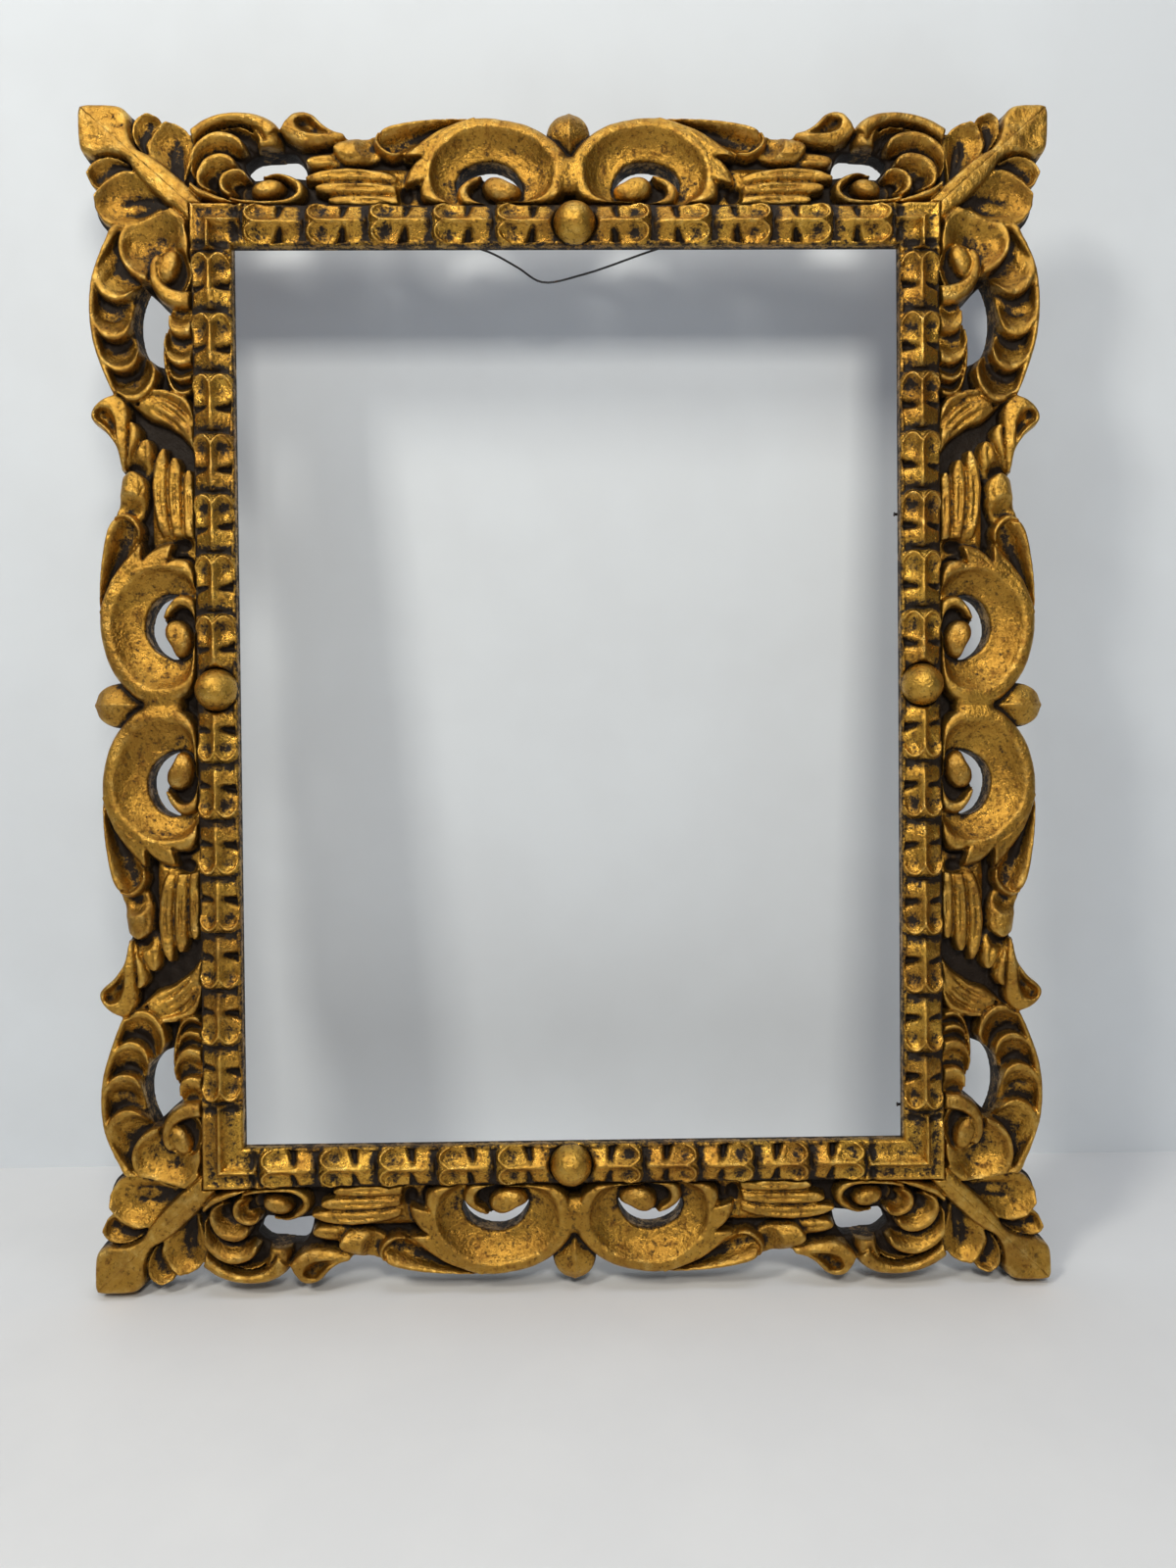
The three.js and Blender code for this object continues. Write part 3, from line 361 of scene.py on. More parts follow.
class Relief:
    """Half a border rail as heights over the drawing, with its outline."""

    def __init__(self, half):
        self.half = half
        self.a0, self.t0 = -14.0, 10.0
        self.shape = (int((half + DRAWN_W + 6 - self.a0) / STEP), int((DRAWN_W + 3 - self.t0) / STEP))
        self.h = np.full(self.shape, GROUND_H)
        a = self.a0 + np.arange(self.shape[0]) * STEP
        t = self.t0 + np.arange(self.shape[1]) * STEP
        self.a, self.t = np.meshgrid(a, t, indexing="ij")

    def cells(self, a, t):
        """The cells of drawn points, numbered row after row, and which points lie on the sheet."""
        i = np.rint((a - self.a0) / STEP).astype(int)
        j = np.rint((t - self.t0) / STEP).astype(int)
        good = (i >= 0) & (j >= 0) & (i < self.shape[0]) & (j < self.shape[1])
        return (i * self.shape[1] + j), good

    def spread(self, outer, inner, value):
        """Value over (along, across) of the strip between two lines, per cell, and the cells it covers."""
        rough = np.linspace(0, 1, 80)
        o, i = spline(outer, rough), spline(inner, rough)
        n = int(max(line_length(o), line_length(i)) / PAINT_PITCH) + 2
        m = int(np.linalg.norm(o - i, axis=1).max() / PAINT_PITCH) + 2
        f = np.linspace(0, 1, n)
        u = np.linspace(0, 1, m)
        o, i = spline(outer, f), spline(inner, f)
        f2, u2 = np.meshgrid(f, u, indexing="ij")
        a = o[:, None, 0] + (i - o)[:, None, 0] * u2
        t = o[:, None, 1] + (i - o)[:, None, 1] * u2
        v = value(f2, u2)
        at, good = self.cells(a.ravel(), t.ravel())
        size = self.shape[0] * self.shape[1]
        total = np.bincount(at[good], weights=v.ravel()[good], minlength=size)
        count = np.bincount(at[good], minlength=size)
        covered = (count > 0).reshape(self.shape)
        mean = (total / np.maximum(count, 1)).reshape(self.shape)
        return mean, covered

    def sweep(self, outer, inner, section, swell=None, tip=None, start=None, raise_only=False):
        """Paints a carved strip. `section` is [share across, height] or a function of both shares; `tip`
        and `start` round an end off by (drop, share of the length)."""
        def value(f, u):
            h = section(f, u) if callable(section) else eased(section, u)
            if swell:
                h = GROUND_H + (h - GROUND_H) * eased(swell, f)
            if tip:
                x = np.clip((f - 1 + tip[1]) / tip[1], 0, 1)
                h = h - tip[0] * (1 - np.sqrt(1 - 0.98 * x * x))
            if start:
                x = np.clip((start[1] - f) / start[1], 0, 1)
                h = h - start[0] * (1 - np.sqrt(1 - 0.98 * x * x))
            return h

        mean, covered = self.spread(outer, inner, value)
        self.h = np.where(covered, np.maximum(self.h, mean) if raise_only else mean, self.h)

    def cut(self, outer, inner, depth):
        """Takes depth(along, across) off the strip between two lines."""
        mean, covered = self.spread(outer, inner, depth)
        self.h = np.where(covered, self.h - mean, self.h)

    def groove(self, points, width, depth, fade=0.25):
        """A gouge line that tapers at both ends."""
        n = int(line_length(spline(points, np.linspace(0, 1, 60))) / GROOVE_PITCH) + 2
        f = np.linspace(0, 1, n)
        line = spline(points, f)
        way = np.gradient(line, axis=0)
        way /= np.maximum(np.linalg.norm(way, axis=1), 1e-9)[:, None]
        side = np.stack([-way[:, 1], way[:, 0]], 1)
        d = np.arange(-2.2 * width, 2.2 * width + 1e-9, GROOVE_PITCH)
        amount = np.minimum(1, np.minimum(f, 1 - f) / fade)
        spot = line[:, None, :] + side[:, None, :] * d[None, :, None]
        value = depth * amount[:, None] * np.exp(-(d / width) ** 2)[None, :]
        at, good = self.cells(spot[..., 0].ravel(), spot[..., 1].ravel())
        sunk = np.zeros(self.shape[0] * self.shape[1])
        np.maximum.at(sunk, at[good], value.ravel()[good])
        self.h = self.h - sunk.reshape(self.shape)

    def local(self, centre, radii, degrees):
        """Distance from the centre of a turned ellipse, 1 on its line."""
        c, s = math.cos(math.radians(degrees)), math.sin(math.radians(degrees))
        x, y = self.a - centre[0], self.t - centre[1]
        return np.hypot((x * c + y * s) / radii[0], (-x * s + y * c) / radii[1])

    def scoop(self, centre, radii, degrees, depth, power=1.0):
        """An oval hollow."""
        r = self.local(centre, radii, degrees)
        self.h = np.where(r < 1, self.h - depth * (1 - np.clip(r, 0, 1) ** 2) ** power, self.h)

    def button(self, centre, radii, degrees, base, rise, moat):
        """An egg-shaped boss in a dark moat."""
        r = self.local(centre, radii, degrees)
        ditch = base - moat * (1 - ((r - 1) / (MOAT_REACH - 1)) ** 2)
        self.h = np.where(r < MOAT_REACH, np.minimum(self.h, ditch), self.h)
        self.h = np.where(r < 1, base + rise * np.clip(1 - r ** 3.6, 0, 1) ** 0.6, self.h)

    def dish(self, centre, radius, squash, section):
        """A round hollow: `section` is [share of the radius, height]."""
        r = self.local(centre, (radius, radius * squash), 0)
        inside = r < section[-1][0]
        self.h = np.where(inside, eased(section, np.clip(r, 0, section[-1][0])), self.h)

    def inside(self, points):
        """Cells inside a closed line of points, by crossings along a."""
        p = np.array(points, float)
        q = np.roll(p, -1, axis=0)
        a_line = self.a[:, 0]
        result = np.zeros(self.shape, bool)
        for j, t in enumerate(self.t[0]):
            hit = ((p[:, 1] <= t) & (q[:, 1] > t)) | ((q[:, 1] <= t) & (p[:, 1] > t))
            if hit.any():
                x = np.sort(p[hit, 0] + (t - p[hit, 1]) / (q[hit, 1] - p[hit, 1]) * (q[hit, 0] - p[hit, 0]))
                result[:, j] = np.searchsorted(x, a_line) % 2 == 1
        return result

    def distance(self, points):
        """Signed distance to a closed line, negative inside, held at EDGE_REACH."""
        p = np.array(points, float)
        q = np.roll(p, -1, axis=0)
        far = np.full(self.shape[0] * self.shape[1], EDGE_REACH)
        k = int(EDGE_REACH / STEP)
        i0 = np.rint(((p[:, 0] + q[:, 0]) / 2 - self.a0) / STEP).astype(int)
        j0 = np.rint(((p[:, 1] + q[:, 1]) / 2 - self.t0) / STEP).astype(int)
        di, dj = np.meshgrid(np.arange(-k, k + 1), np.arange(-k, k + 1), indexing="ij")
        for s in range(0, len(p), 400):
            e = slice(s, s + 400)
            i = i0[e, None] + di.ravel()[None]
            j = j0[e, None] + dj.ravel()[None]
            x = self.a0 + i * STEP - p[e, 0, None]
            y = self.t0 + j * STEP - p[e, 1, None]
            vx, vy = (q - p)[e, 0, None], (q - p)[e, 1, None]
            u = np.clip((x * vx + y * vy) / np.maximum(vx * vx + vy * vy, 1e-9), 0, 1)
            d = np.hypot(x - u * vx, y - u * vy)
            good = (i >= 0) & (j >= 0) & (i < self.shape[0]) & (j < self.shape[1])
            np.minimum.at(far, (i * self.shape[1] + j)[good], d[good])
        far = far.reshape(self.shape)
        return np.where(self.inside(points), -far, far)


def dense(runs):
    """Points all along a chain of smooth lines."""
    points = []
    for run in runs:
        length = line_length(spline(run, np.linspace(0, 1, 60)))
        n = max(2, int(length / OUTLINE_PITCH))
        points += spline(run, np.linspace(0, 1, n + 1))[:-1].tolist()
    return points


# ---------------------------------------------------------------- the drawing of the carving

SCROLL_EDGE = [(0, 42), (3, 46), (6.5, 50), (11.5, 54.5), (17.5, 57.5), (26, 60), (34, 61), (41, 61.2),
               (51, 60.6), (62, 59.6), (73, 57.8), (81, 55.3), (88, 52.8)]
CRESCENT = [[(20, 27.4), (20.6, 32), (24, 37.6), (29.3, 41), (34.6, 41.8), (41, 40.4), (46.4, 36.8),
             (49, 31.4), (48.4, 27)],
            [(48.4, 27), (42, 31), (36, 32.6), (30, 31.8), (25, 29), (20, 27.4)]]
SHELL_HOLE = [[(151, 32), (154, 38.6), (160, 43), (169, 44.8), (178, 44), (186, 41)],
              [(186, 41), (182, 36.6), (178, 32.6), (175, 27.6)],
              [(175, 27.6), (169, 29), (161, 31), (151, 32)]]
COIL_HOLE = [[(116, 34.4), (118, 42), (121, 46.6), (125, 47), (130, 46.4), (137, 45.6), (142, 41.6)],
             [(142, 41.6), (140.6, 37.6), (137.6, 33.8)],
             [(137.6, 33.8), (131, 35), (124, 35.2), (116, 34.4)]]
TALL = {
    "half": 197.5, "ear": 127, "fingers": 114.6, "hole": SHELL_HOLE,
    "wave": [(88, 52.8), (94, 51.4), (101, 50.8), (108, 50.8)],
    "curl": [(108, 50.8), (114.5, 52.5), (120.5, 57), (124.5, 61.8), (127.5, 63.5), (131.5, 61.6),
             (134.5, 58), (136.6, 53)],
    "scroll": [(136.6, 53), (143, 56), (151, 59), (159, 61.5), (168, 63), (177, 63.2), (186, 62.2),
               (194, 60), (202, 57), (210.5, 52.8)],
    "leaf": [(13, 52.8), (16, 58.4), (22, 61.4), (27, 60.8), (31, 59)],
}
WIDE = {
    "half": 146.0, "ear": 116.5, "fingers": 117.4, "hole": COIL_HOLE,
    "wave": [(88, 53.4), (94, 53), (99, 53.6)],
    "curl": [(99, 53.6), (104, 55), (108.5, 58.4), (112, 62.3), (116.5, 64.1), (120.8, 63.1),
             (123.8, 59.1), (125.6, 55)],
    "scroll": [(125.6, 55), (128, 58.6), (133, 61.7), (139.5, 63.1), (147, 63), (154, 61.7), (161, 58.6),
               (167, 53.9)],
    "leaf": [(21, 53.9), (24, 58), (29, 59.8), (33, 58.6)],
}
BOWL = [(0, 14.2), (0.05, 17.4), (0.12, 18.9), (0.25, 19.3), (0.31, 19.0), (0.345, 18.2), (0.44, 16.4),
        (0.65, 13.6), (0.88, 12.4), (1, 12.6)]
CHANNEL = [(0, 13.6), (0.05, 17.6), (0.13, 18.9), (0.22, 18.2), (0.5, 14.4), (0.8, 13.8), (1, 15.4)]


def leaf_lobe(low, high, hollow):
    """A rounded leaf lobe that rises from a hollow at its start."""
    def value(f, u):
        dome = 1 - np.abs(2 * u - 1) ** 3.2
        return low + (high - low) * dome * step_up(f, -0.05, hollow)
    return value


def draw_palmette(r, end):
    """A broad leaf of three blunt fingers, each with one gouge line."""
    def at(points):
        return [(66 + (a - 66) * (end - 66) / 48, t) for a, t in points]

    r.sweep(at([(66, 37), (78, 37.6), (90, 37.4), (101, 36.6), (108.6, 35)]),
            at([(66, 17.2), (78, 17.0), (90, 17.0), (97, 17.2), (101, 18.2)]),
            [(0, 12.8), (0.2, 14.4), (0.8, 14.2), (1, 12.8)], start=(2.4, 0.16), tip=(2.4, 0.1))
    finger = [(0, 14.6), (0.1, 16.3), (0.3, 17.1), (0.6, 17.0), (0.88, 16.2), (1, 14.6)]
    for outer, inner in (
            ([(71, 22.6), (80, 23.4), (90, 23.6), (99, 23.2), (103.6, 21.2)],
             [(71, 17.2), (82, 17.0), (91, 17.0), (98.6, 17.4), (103.2, 19.6)]),
            ([(73, 28), (84, 29.4), (95, 29.8), (104.6, 29.4), (109, 27.4)],
             [(73, 22.8), (84, 23.6), (95, 23.7), (104, 23.7), (108.6, 25.2)]),
            ([(74, 33), (84, 35.6), (96, 36.8), (107, 35.2), (113, 32)],
             [(74, 28), (84, 29.5), (96, 30), (107, 29.6), (112.6, 30.2)])):
        r.sweep(at(outer), at(inner), finger, start=(3.4, 0.2), tip=(2.2, 0.08))
    for line, depth in (([(80, 32.2), (92, 33.6), (105, 32.6)], 0.9),
                        ([(80, 26), (90, 26.9), (102, 26.5)], 1.0),
                        ([(80, 20), (88, 20.4), (97, 20.4)], 0.9)):
        r.groove(at(line), 0.6, depth, 0.3)
    for a in (80.0, 95.0):
        r.scoop(at([(a, 17.0)])[0], (4.4, 2.6), 4, 3.4, 0.8)
    r.sweep(at([(63, 36), (66, 33), (66.6, 28), (65.6, 22), (62, 17.2)]),
            at([(73, 35), (74, 31), (74.6, 27), (74.2, 22), (73, 17.2)]), [(0, 11.8), (0.5, 12.6), (1, 14.6)])


def draw_wave(r, side):
    """The acanthus wave, painted from its far lobes back to the spoon that covers their roots."""
    # third lobe, and on the long side the finger above it
    if side is TALL:
        r.sweep([(102, 47.6), (108, 47), (113, 45.4), (116.6, 41.8), (117.6, 38.6)],
                [(98, 39), (103, 36.4), (109, 35.2), (114.4, 35.6), (117.4, 37.8)], leaf_lobe(12.8, 17.0, 0.5),
                tip=(2.4, 0.12))
        r.scoop((104.6, 43.4), (4.4, 4.6), -20, 2.6)
        r.groove([(107, 40.6), (111.4, 39.4), (115, 39.6)], 0.5, 0.7)
        r.sweep([(104, 51.4), (111, 50.6), (117, 50), (122.8, 49), (125, 45.6)],
                [(104, 48), (110, 44.6), (115, 42.0), (120.6, 41.0), (124.6, 43.6)], leaf_lobe(14, 17.8, 0.3),
                tip=(2.4, 0.1))
        r.groove([(113, 47.4), (118, 46), (122.6, 45)], 0.5, 0.6)
    else:
        r.sweep([(98, 45.6), (104, 44.8), (110, 44), (114.6, 42.4), (116, 40)],
                [(96, 38), (102, 36.6), (108, 36.2), (113.4, 36.8), (115.8, 38.8)], leaf_lobe(12.8, 16.6, 0.4),
                tip=(2.4, 0.1))
        r.groove([(101, 41.6), (107, 40.6), (112.6, 40)], 0.5, 0.9)
    # second lobe
    r.sweep([(82, 54.4), (88, 52.8), (95, 51.8), (101, 50.6), (103.6, 46.4)],
            [(80, 43), (86, 40.2), (92, 38.2), (99, 38.4), (103.2, 43.2)], leaf_lobe(12.8, 18.2, 0.5),
            tip=(2.4, 0.12))
    r.scoop((88.4, 47), (5.2, 6.4), -15, 3.4)
    r.groove([(91, 42), (96, 41), (101, 42.4)], 0.5, 0.8)
    # spoon: a long hollow with a raised lip on its outer edge and at its end
    r.sweep([(40, 61), (51, 60.4), (62, 59.4), (73, 57.6), (80, 55.4), (84.4, 50.6)],
            [(40, 58.4), (51, 54.8), (62, 49.6), (70, 44.4), (76, 41.2), (83, 44.6)], CHANNEL,
            swell=[(0, 0.62), (0.25, 0.86), (0.7, 1.0), (1, 1.0)])
    r.cut([(50, 58.2), (60, 56.8), (70, 54.8), (78, 52), (81, 48.4)],
          [(50, 56.8), (60, 52.6), (68, 47.4), (74, 44.2), (79.6, 45.2)],
          lambda f, u: 1.7 * np.sin(np.pi * u) * np.sin(np.pi * np.clip(f, 0, 1)) ** 0.5)
    r.sweep([(83.4, 53.2), (85.4, 48.4), (83, 43.6), (77.6, 40.6), (72.4, 41.6)],
            [(81.6, 52.4), (82.2, 48.8), (80, 45.6), (76.4, 43.4), (72.8, 43.2)],
            [(0, 13.8), (0.3, 17.8), (0.6, 18.4), (1, 15)])


def draw_ear(r, side):
    """The ear that curls off the outline, with its hollow."""
    edge = side["curl"]
    if side is TALL:
        inner = [(103, 48.4), (110, 46.8), (117, 46.2), (124, 46), (130, 45.8), (134.4, 47.4), (136.8, 50.4),
                 (137, 52.4)]
        upper = [(115, 51.4), (119.6, 53.4), (123.4, 57.2), (126, 60.6), (129, 60.4)]
        lower = [(115, 51.0), (121, 51), (126.4, 51.8), (130.4, 53.8), (131.2, 57.4)]
    else:
        inner = [(97, 50), (102, 48.4), (107, 47.4), (112, 46.8), (117, 46.8), (121, 48.6), (124.2, 51.4),
                 (126.2, 54.2)]
        upper = [(104, 52.6), (108.4, 55), (111.8, 58.4), (114.4, 60.8), (117.4, 60.4)]
        lower = [(104, 52.0), (110, 51.8), (115, 52.4), (119, 54.4), (120, 57.8)]
    r.sweep(edge, inner, [(0, 13.8), (0.08, 17.4), (0.3, 18.6), (0.6, 18.4), (0.9, 17), (1, 14)],
            swell=[(0, 0.75), (0.3, 1.0), (1, 1.0)])
    r.cut(upper, lower, lambda f, u: 4.6 * np.sin(np.pi * np.clip(u, 0, 1) ** 0.75) * step_up(f, -0.1, 0.5))


def draw_flank(r):
    """Three leaf tips that tooth the far side of the centre scroll."""
    tip = [(0, 13.8), (0.12, 16.8), (0.34, 18.4), (0.75, 18.9), (1, 18.6)]
    for outer, inner in (
            ([(62.6, 30.4), (64.6, 27.6), (65, 24), (63.2, 20.6), (58, 18.2)],
             [(60.2, 31), (59.8, 27.6), (58.8, 24), (56.8, 20.8), (53, 18.2)]),
            ([(63.6, 41.4), (67.6, 38.4), (70.4, 34.6), (71.6, 30.8), (71.6, 27.4)],
             [(60.2, 41), (60.8, 37), (60.6, 33), (62.4, 30.2), (68.6, 28)]),
            ([(40, 60.4), (48, 58.0), (56, 54.8), (62.4, 50.8), (68, 46.2), (72.4, 41.8)],
             [(40, 58), (47, 55.4), (53, 51.2), (57.6, 46.4), (61, 41.8), (69, 40.9)])):
        r.sweep(outer, inner, tip, tip=(1.4, 0.1))
    r.groove([(45, 58.2), (53, 54.2), (60, 48.4), (66, 43.4)], 0.45, 0.5)
    r.groove([(61.4, 39.6), (65.6, 35.6), (67.8, 30)], 0.45, 0.5)
    r.scoop((71.6, 24), (3.6, 4.6), 10, 3.0)
    r.scoop((70, 40), (2.2, 1.1), -20, 1.5)


def draw_tongue(r):
    """The ridged leaf that stands out between the two centre scrolls."""
    t = r.t
    width = eased([(41, 0.2), (43, 1.4), (45, 3.8), (48.5, 7.6), (51, 9.2), (54, 9.8), (57, 9.3), (60, 7.9),
                   (62.6, 5.4), (64.2, 0.8)], t)
    width = np.maximum(width, 0.05)
    x = np.abs(r.a) / width
    ridge = eased([(39, 12.6), (44, 15.4), (52, 18.6), (58, 18.0), (62, 15.6), (64.4, 13.4)], t)
    low = eased([(39, 11.4), (46, 11.6), (54, 12.8), (60, 13), (64, 12.6)], t)
    h = low + (ridge - low) * (1 - np.clip(x, 0, 1) ** 1.5)
    h = h + 0.7 * np.exp(-(r.a / 0.7) ** 2) * step_up(t, 42, 46)
    r.h = np.where((x < 1) & (t > 39) & (t < 64.3), h, r.h)


def draw_centre(r):
    """The C scroll with its coil and bead, over the tongue."""
    draw_tongue(r)
    r.sweep([(56, 18.4), (63, 22), (65.5, 28.5), (66, 34.5), (64, 41.5), (58.5, 49.5), (50, 57), (38, 60.6),
             (25, 59.2), (13.5, 55), (5, 48), (0.6, 41.5), (0, 34.5), (1, 27.5), (4, 22), (10, 18.6),
             (19, 18.4), (30, 18.4)],
            [(45, 18.5), (47.2, 23), (47.8, 28.5), (47, 33.5), (44.5, 37), (41, 39.3), (37.2, 40.3),
             (33.5, 40.6), (29.3, 40), (25.5, 38.3), (22.6, 35.5), (21.2, 32), (21, 29), (21.5, 26),
             (23, 23.6), (26, 21.6), (29.5, 20.8), (33.5, 20.4)], BOWL)
    # the floor round the bead, then the coil and the bead itself
    r.sweep([(24, 25.4), (28, 20.6), (35, 19.2), (41, 19.8), (43.4, 24), (42.2, 29)],
            [(26, 27), (30, 25), (34, 24), (37, 24.6), (38, 26.6), (37.6, 28.6)],
            [(0, 12), (0.5, 10.6), (1, 11)])
    r.sweep([(30, 17.4), (38, 17.4), (45, 18.4), (48, 22.0), (48.2, 26), (45.6, 29.8), (41.5, 32.7), (35.8, 34.1)],
            [(30, 18.8), (36, 19.0), (40.6, 20.8), (42.8, 23.6), (42.4, 26.6), (40, 28.6), (37.4, 29.6), (33.4, 31)],
            [(0, 13.4), (0.12, 16.2), (0.4, 17.4), (0.75, 17.2), (0.92, 16), (1, 13.4)])
    r.button((28.8, 26.9), (8.6, 6.5), 10, 13.0, 5.0, 1.6)
    r.groove([(52, 22), (57, 28), (57.6, 36), (53, 44.6)], 2.2, 0.5)
    # the two scrolls' bands run into one another
    bridge = 18.7 - 0.5 * np.exp(-(r.a / 0.8) ** 2) - 5 * np.abs((r.t - 33.5) / 9.6) ** 5
    r.h = np.where((np.abs(r.a) < 2.4) & (np.abs(r.t - 33.5) < 9.5), np.maximum(r.h, bridge), r.h)


FOLD = [(0, 14.2), (0.03, 17.6), (0.08, 19.0), (0.16, 19.0), (0.34, 17.2), (0.6, 14.8), (0.84, 13.2), (1, 12.6)]


def folds(r, rims, section, hollow):
    """Overlapping scales: each rises at its own rim and falls away under the next one's."""
    for rim, following in reversed(list(zip(rims[:-1], rims[1:]))):
        def value(f, u):
            return eased(section, u) - hollow * np.sin(np.pi * f) ** 1.5 * np.sin(np.pi * np.clip(u, 0, 1) ** 0.8)
        r.sweep(rim, following, value)


def draw_shell_scroll(r, side):
    """The long side's corner scroll: two bands of scales, the shell and the volute."""
    # the leaf that fans up into the arm
    r.sweep([(112, 18.6), (118, 23.4), (123.4, 31), (126, 38.2), (131, 44), (138.4, 51.4)],
            [(122, 18.2), (131, 18.6), (137.4, 22.6), (139.4, 29.5), (140.2, 36), (146.6, 42)],
            [(0, 12.6), (0.12, 15.8), (0.45, 16.8), (0.74, 15.8), (0.84, 17.6), (0.95, 17.2), (1, 13.4)],
            swell=[(0, 0.7), (0.4, 0.95), (1, 1.15)])
    for line in ([(120, 22.6), (126, 29), (131, 37)], [(123, 21), (129, 27), (133.6, 34)],
                 [(127, 20.4), (132, 25), (135.6, 31)]):
        r.groove(line, 0.7, 1.3)
    # the arm's ground and its smooth outer band
    r.sweep(side["scroll"] + [(215.4, 43.5), (218, 35), (216.6, 25.5), (210, 19.4)],
            [(132, 42), (144, 38), (154, 41.5), (163, 45), (172, 46.6), (181, 47), (190, 46), (199, 44.4),
             (207, 41), (211.6, 36), (212.6, 31), (210.5, 26.5), (205, 21.4)],
            [(0, 14), (0.07, 17.4), (0.18, 18.9), (0.3, 18.4), (0.6, 14.6), (0.92, 13.4), (1, 13)])
    # the lower band: three small scales
    r.sweep([(138, 28), (142, 29.4), (148, 31.2), (156, 32.2), (164, 31.4), (171, 29.4), (180, 27)],
            [(138, 18.2), (141, 18.2), (148, 18.2), (156, 18.2), (164, 18.2), (172, 18.2), (180, 18.4)],
            [(0, 13), (0.1, 15.8), (0.22, 16.6), (0.4, 14.8), (0.7, 13.4), (1, 13)])
    folds(r, [[(137, 19), (136.4, 23), (138.6, 26.6), (143, 28.4)],
              [(143.4, 18.6), (142.4, 24), (145, 27.8), (150.4, 29.6)],
              [(150.6, 18.6), (149.6, 24.4), (152.4, 28.8), (158, 30.6)],
              [(163, 18.6), (162.2, 24.2), (165.2, 28.2), (171, 28.8)],
              [(178, 18.6), (177.6, 22), (178, 25), (180, 27.6)]],
          [(0, 13.6), (0.05, 16.4), (0.14, 17.6), (0.3, 16.8), (0.6, 13.6), (0.85, 12.2), (1, 12)], 0.8)
    # the upper band: four scales, and the fifth is the shell itself
    folds(r, [[(142, 54.4), (136.6, 51.4), (133.8, 46.8), (133.6, 42), (136.4, 37.4), (141, 34.2), (147, 32.8)],
              [(151.6, 57), (147.6, 53.4), (146.2, 49), (147.6, 44.6), (151.2, 41.6), (155.6, 40.4), (160.4, 41.6)],
              [(166.4, 60.4), (162, 57.2), (160.4, 52.8), (161.2, 48.4), (164.4, 45.2), (169, 43.8), (174.6, 43.6)],
              [(186, 61.4), (180.4, 58.4), (177.4, 54), (177, 49.4), (179, 45.2), (182.6, 42.4), (187, 41)],
              [(208, 49), (202, 49.4), (196, 48.4), (190.6, 46), (187.4, 42.6), (186.6, 39.2), (188.4, 36)]],
          FOLD, 1.3)
    for line in ([(143, 50), (145.6, 45.6), (150, 40.6)], [(157, 54.6), (158.6, 49.6), (162, 45)],
                 [(171, 58), (170.4, 52.4), (174, 47.4)], [(184, 56), (190, 52.6), (197, 50.6)]):
        r.groove(line, 1.1, 0.9)
    # the outer band again, over the scales' ends
    r.sweep(side["scroll"] + [(214.6, 46)],
            [(139, 51), (145.6, 53.4), (153.4, 56), (161, 58), (169.4, 59.2), (178, 59.4), (186.4, 58.4), (194, 56.4),
             (201, 53.4), (208, 48.8), (211, 44)],
            [(0, 14), (0.22, 17.4), (0.5, 18.7), (0.74, 18.4), (0.9, 17.2), (1, 15.2)], raise_only=True)
    # the shell: a bowl with a crisp rim towards the scales, open towards the corner
    around = r.local((200.6, 34.0), (15.0, 14.6), 0)
    ring = np.clip(around, 0, 1.05)
    open_side = step_up(((r.a - 200.6) - 0.55 * (r.t - 34)) / 15, -0.55, 0.35)
    crisp = eased([(0, 12.6), (0.3, 13.0), (0.6, 14.8), (0.84, 17.6), (0.93, 19.0), (0.98, 19.1), (1.06, 18.0)], ring)
    soft = eased([(0, 12.6), (0.3, 13.6), (0.6, 15.8), (0.84, 17.6), (1.0, 18.4), (1.06, 18.6)], ring)
    r.h = np.where(around < 1.05, crisp + (soft - crisp) * open_side, r.h)
    r.scoop((207.4, 28.6), (6.4, 8.8), -24, 1.5)
    r.groove([(193, 43), (199, 45), (206, 43)], 1.2, 0.5)
    # the volute: its band rises from the lower scales and turns over the bead
    r.dish((190.4, 27.0), 10.6, 0.82, [(0, 11.4), (0.6, 11.8), (0.84, 13.4), (1.0, 15.6)])
    r.sweep([(174.6, 19.6), (174.6, 25), (177, 30.6), (181.6, 34.8), (187.4, 36.8), (193.6, 36.4), (198.6, 33.6)],
            [(182.4, 18.4), (182.6, 22.4), (183.4, 26.4), (185, 29.4), (187.8, 31.4), (192, 32.0), (196, 30.6)],
            [(0, 13.4), (0.12, 16.2), (0.32, 17.6), (0.7, 17.8), (0.9, 16.4), (1, 13.4)], tip=(1.4, 0.12))
    bead = r.local((193.0, 28.4), (8.2, 4.6), -20)
    r.h = np.where(bead < 1, np.maximum(r.h, 12.4 + 5.4 * np.sqrt(np.clip(1 - bead ** 3.4, 0, 1))), r.h)


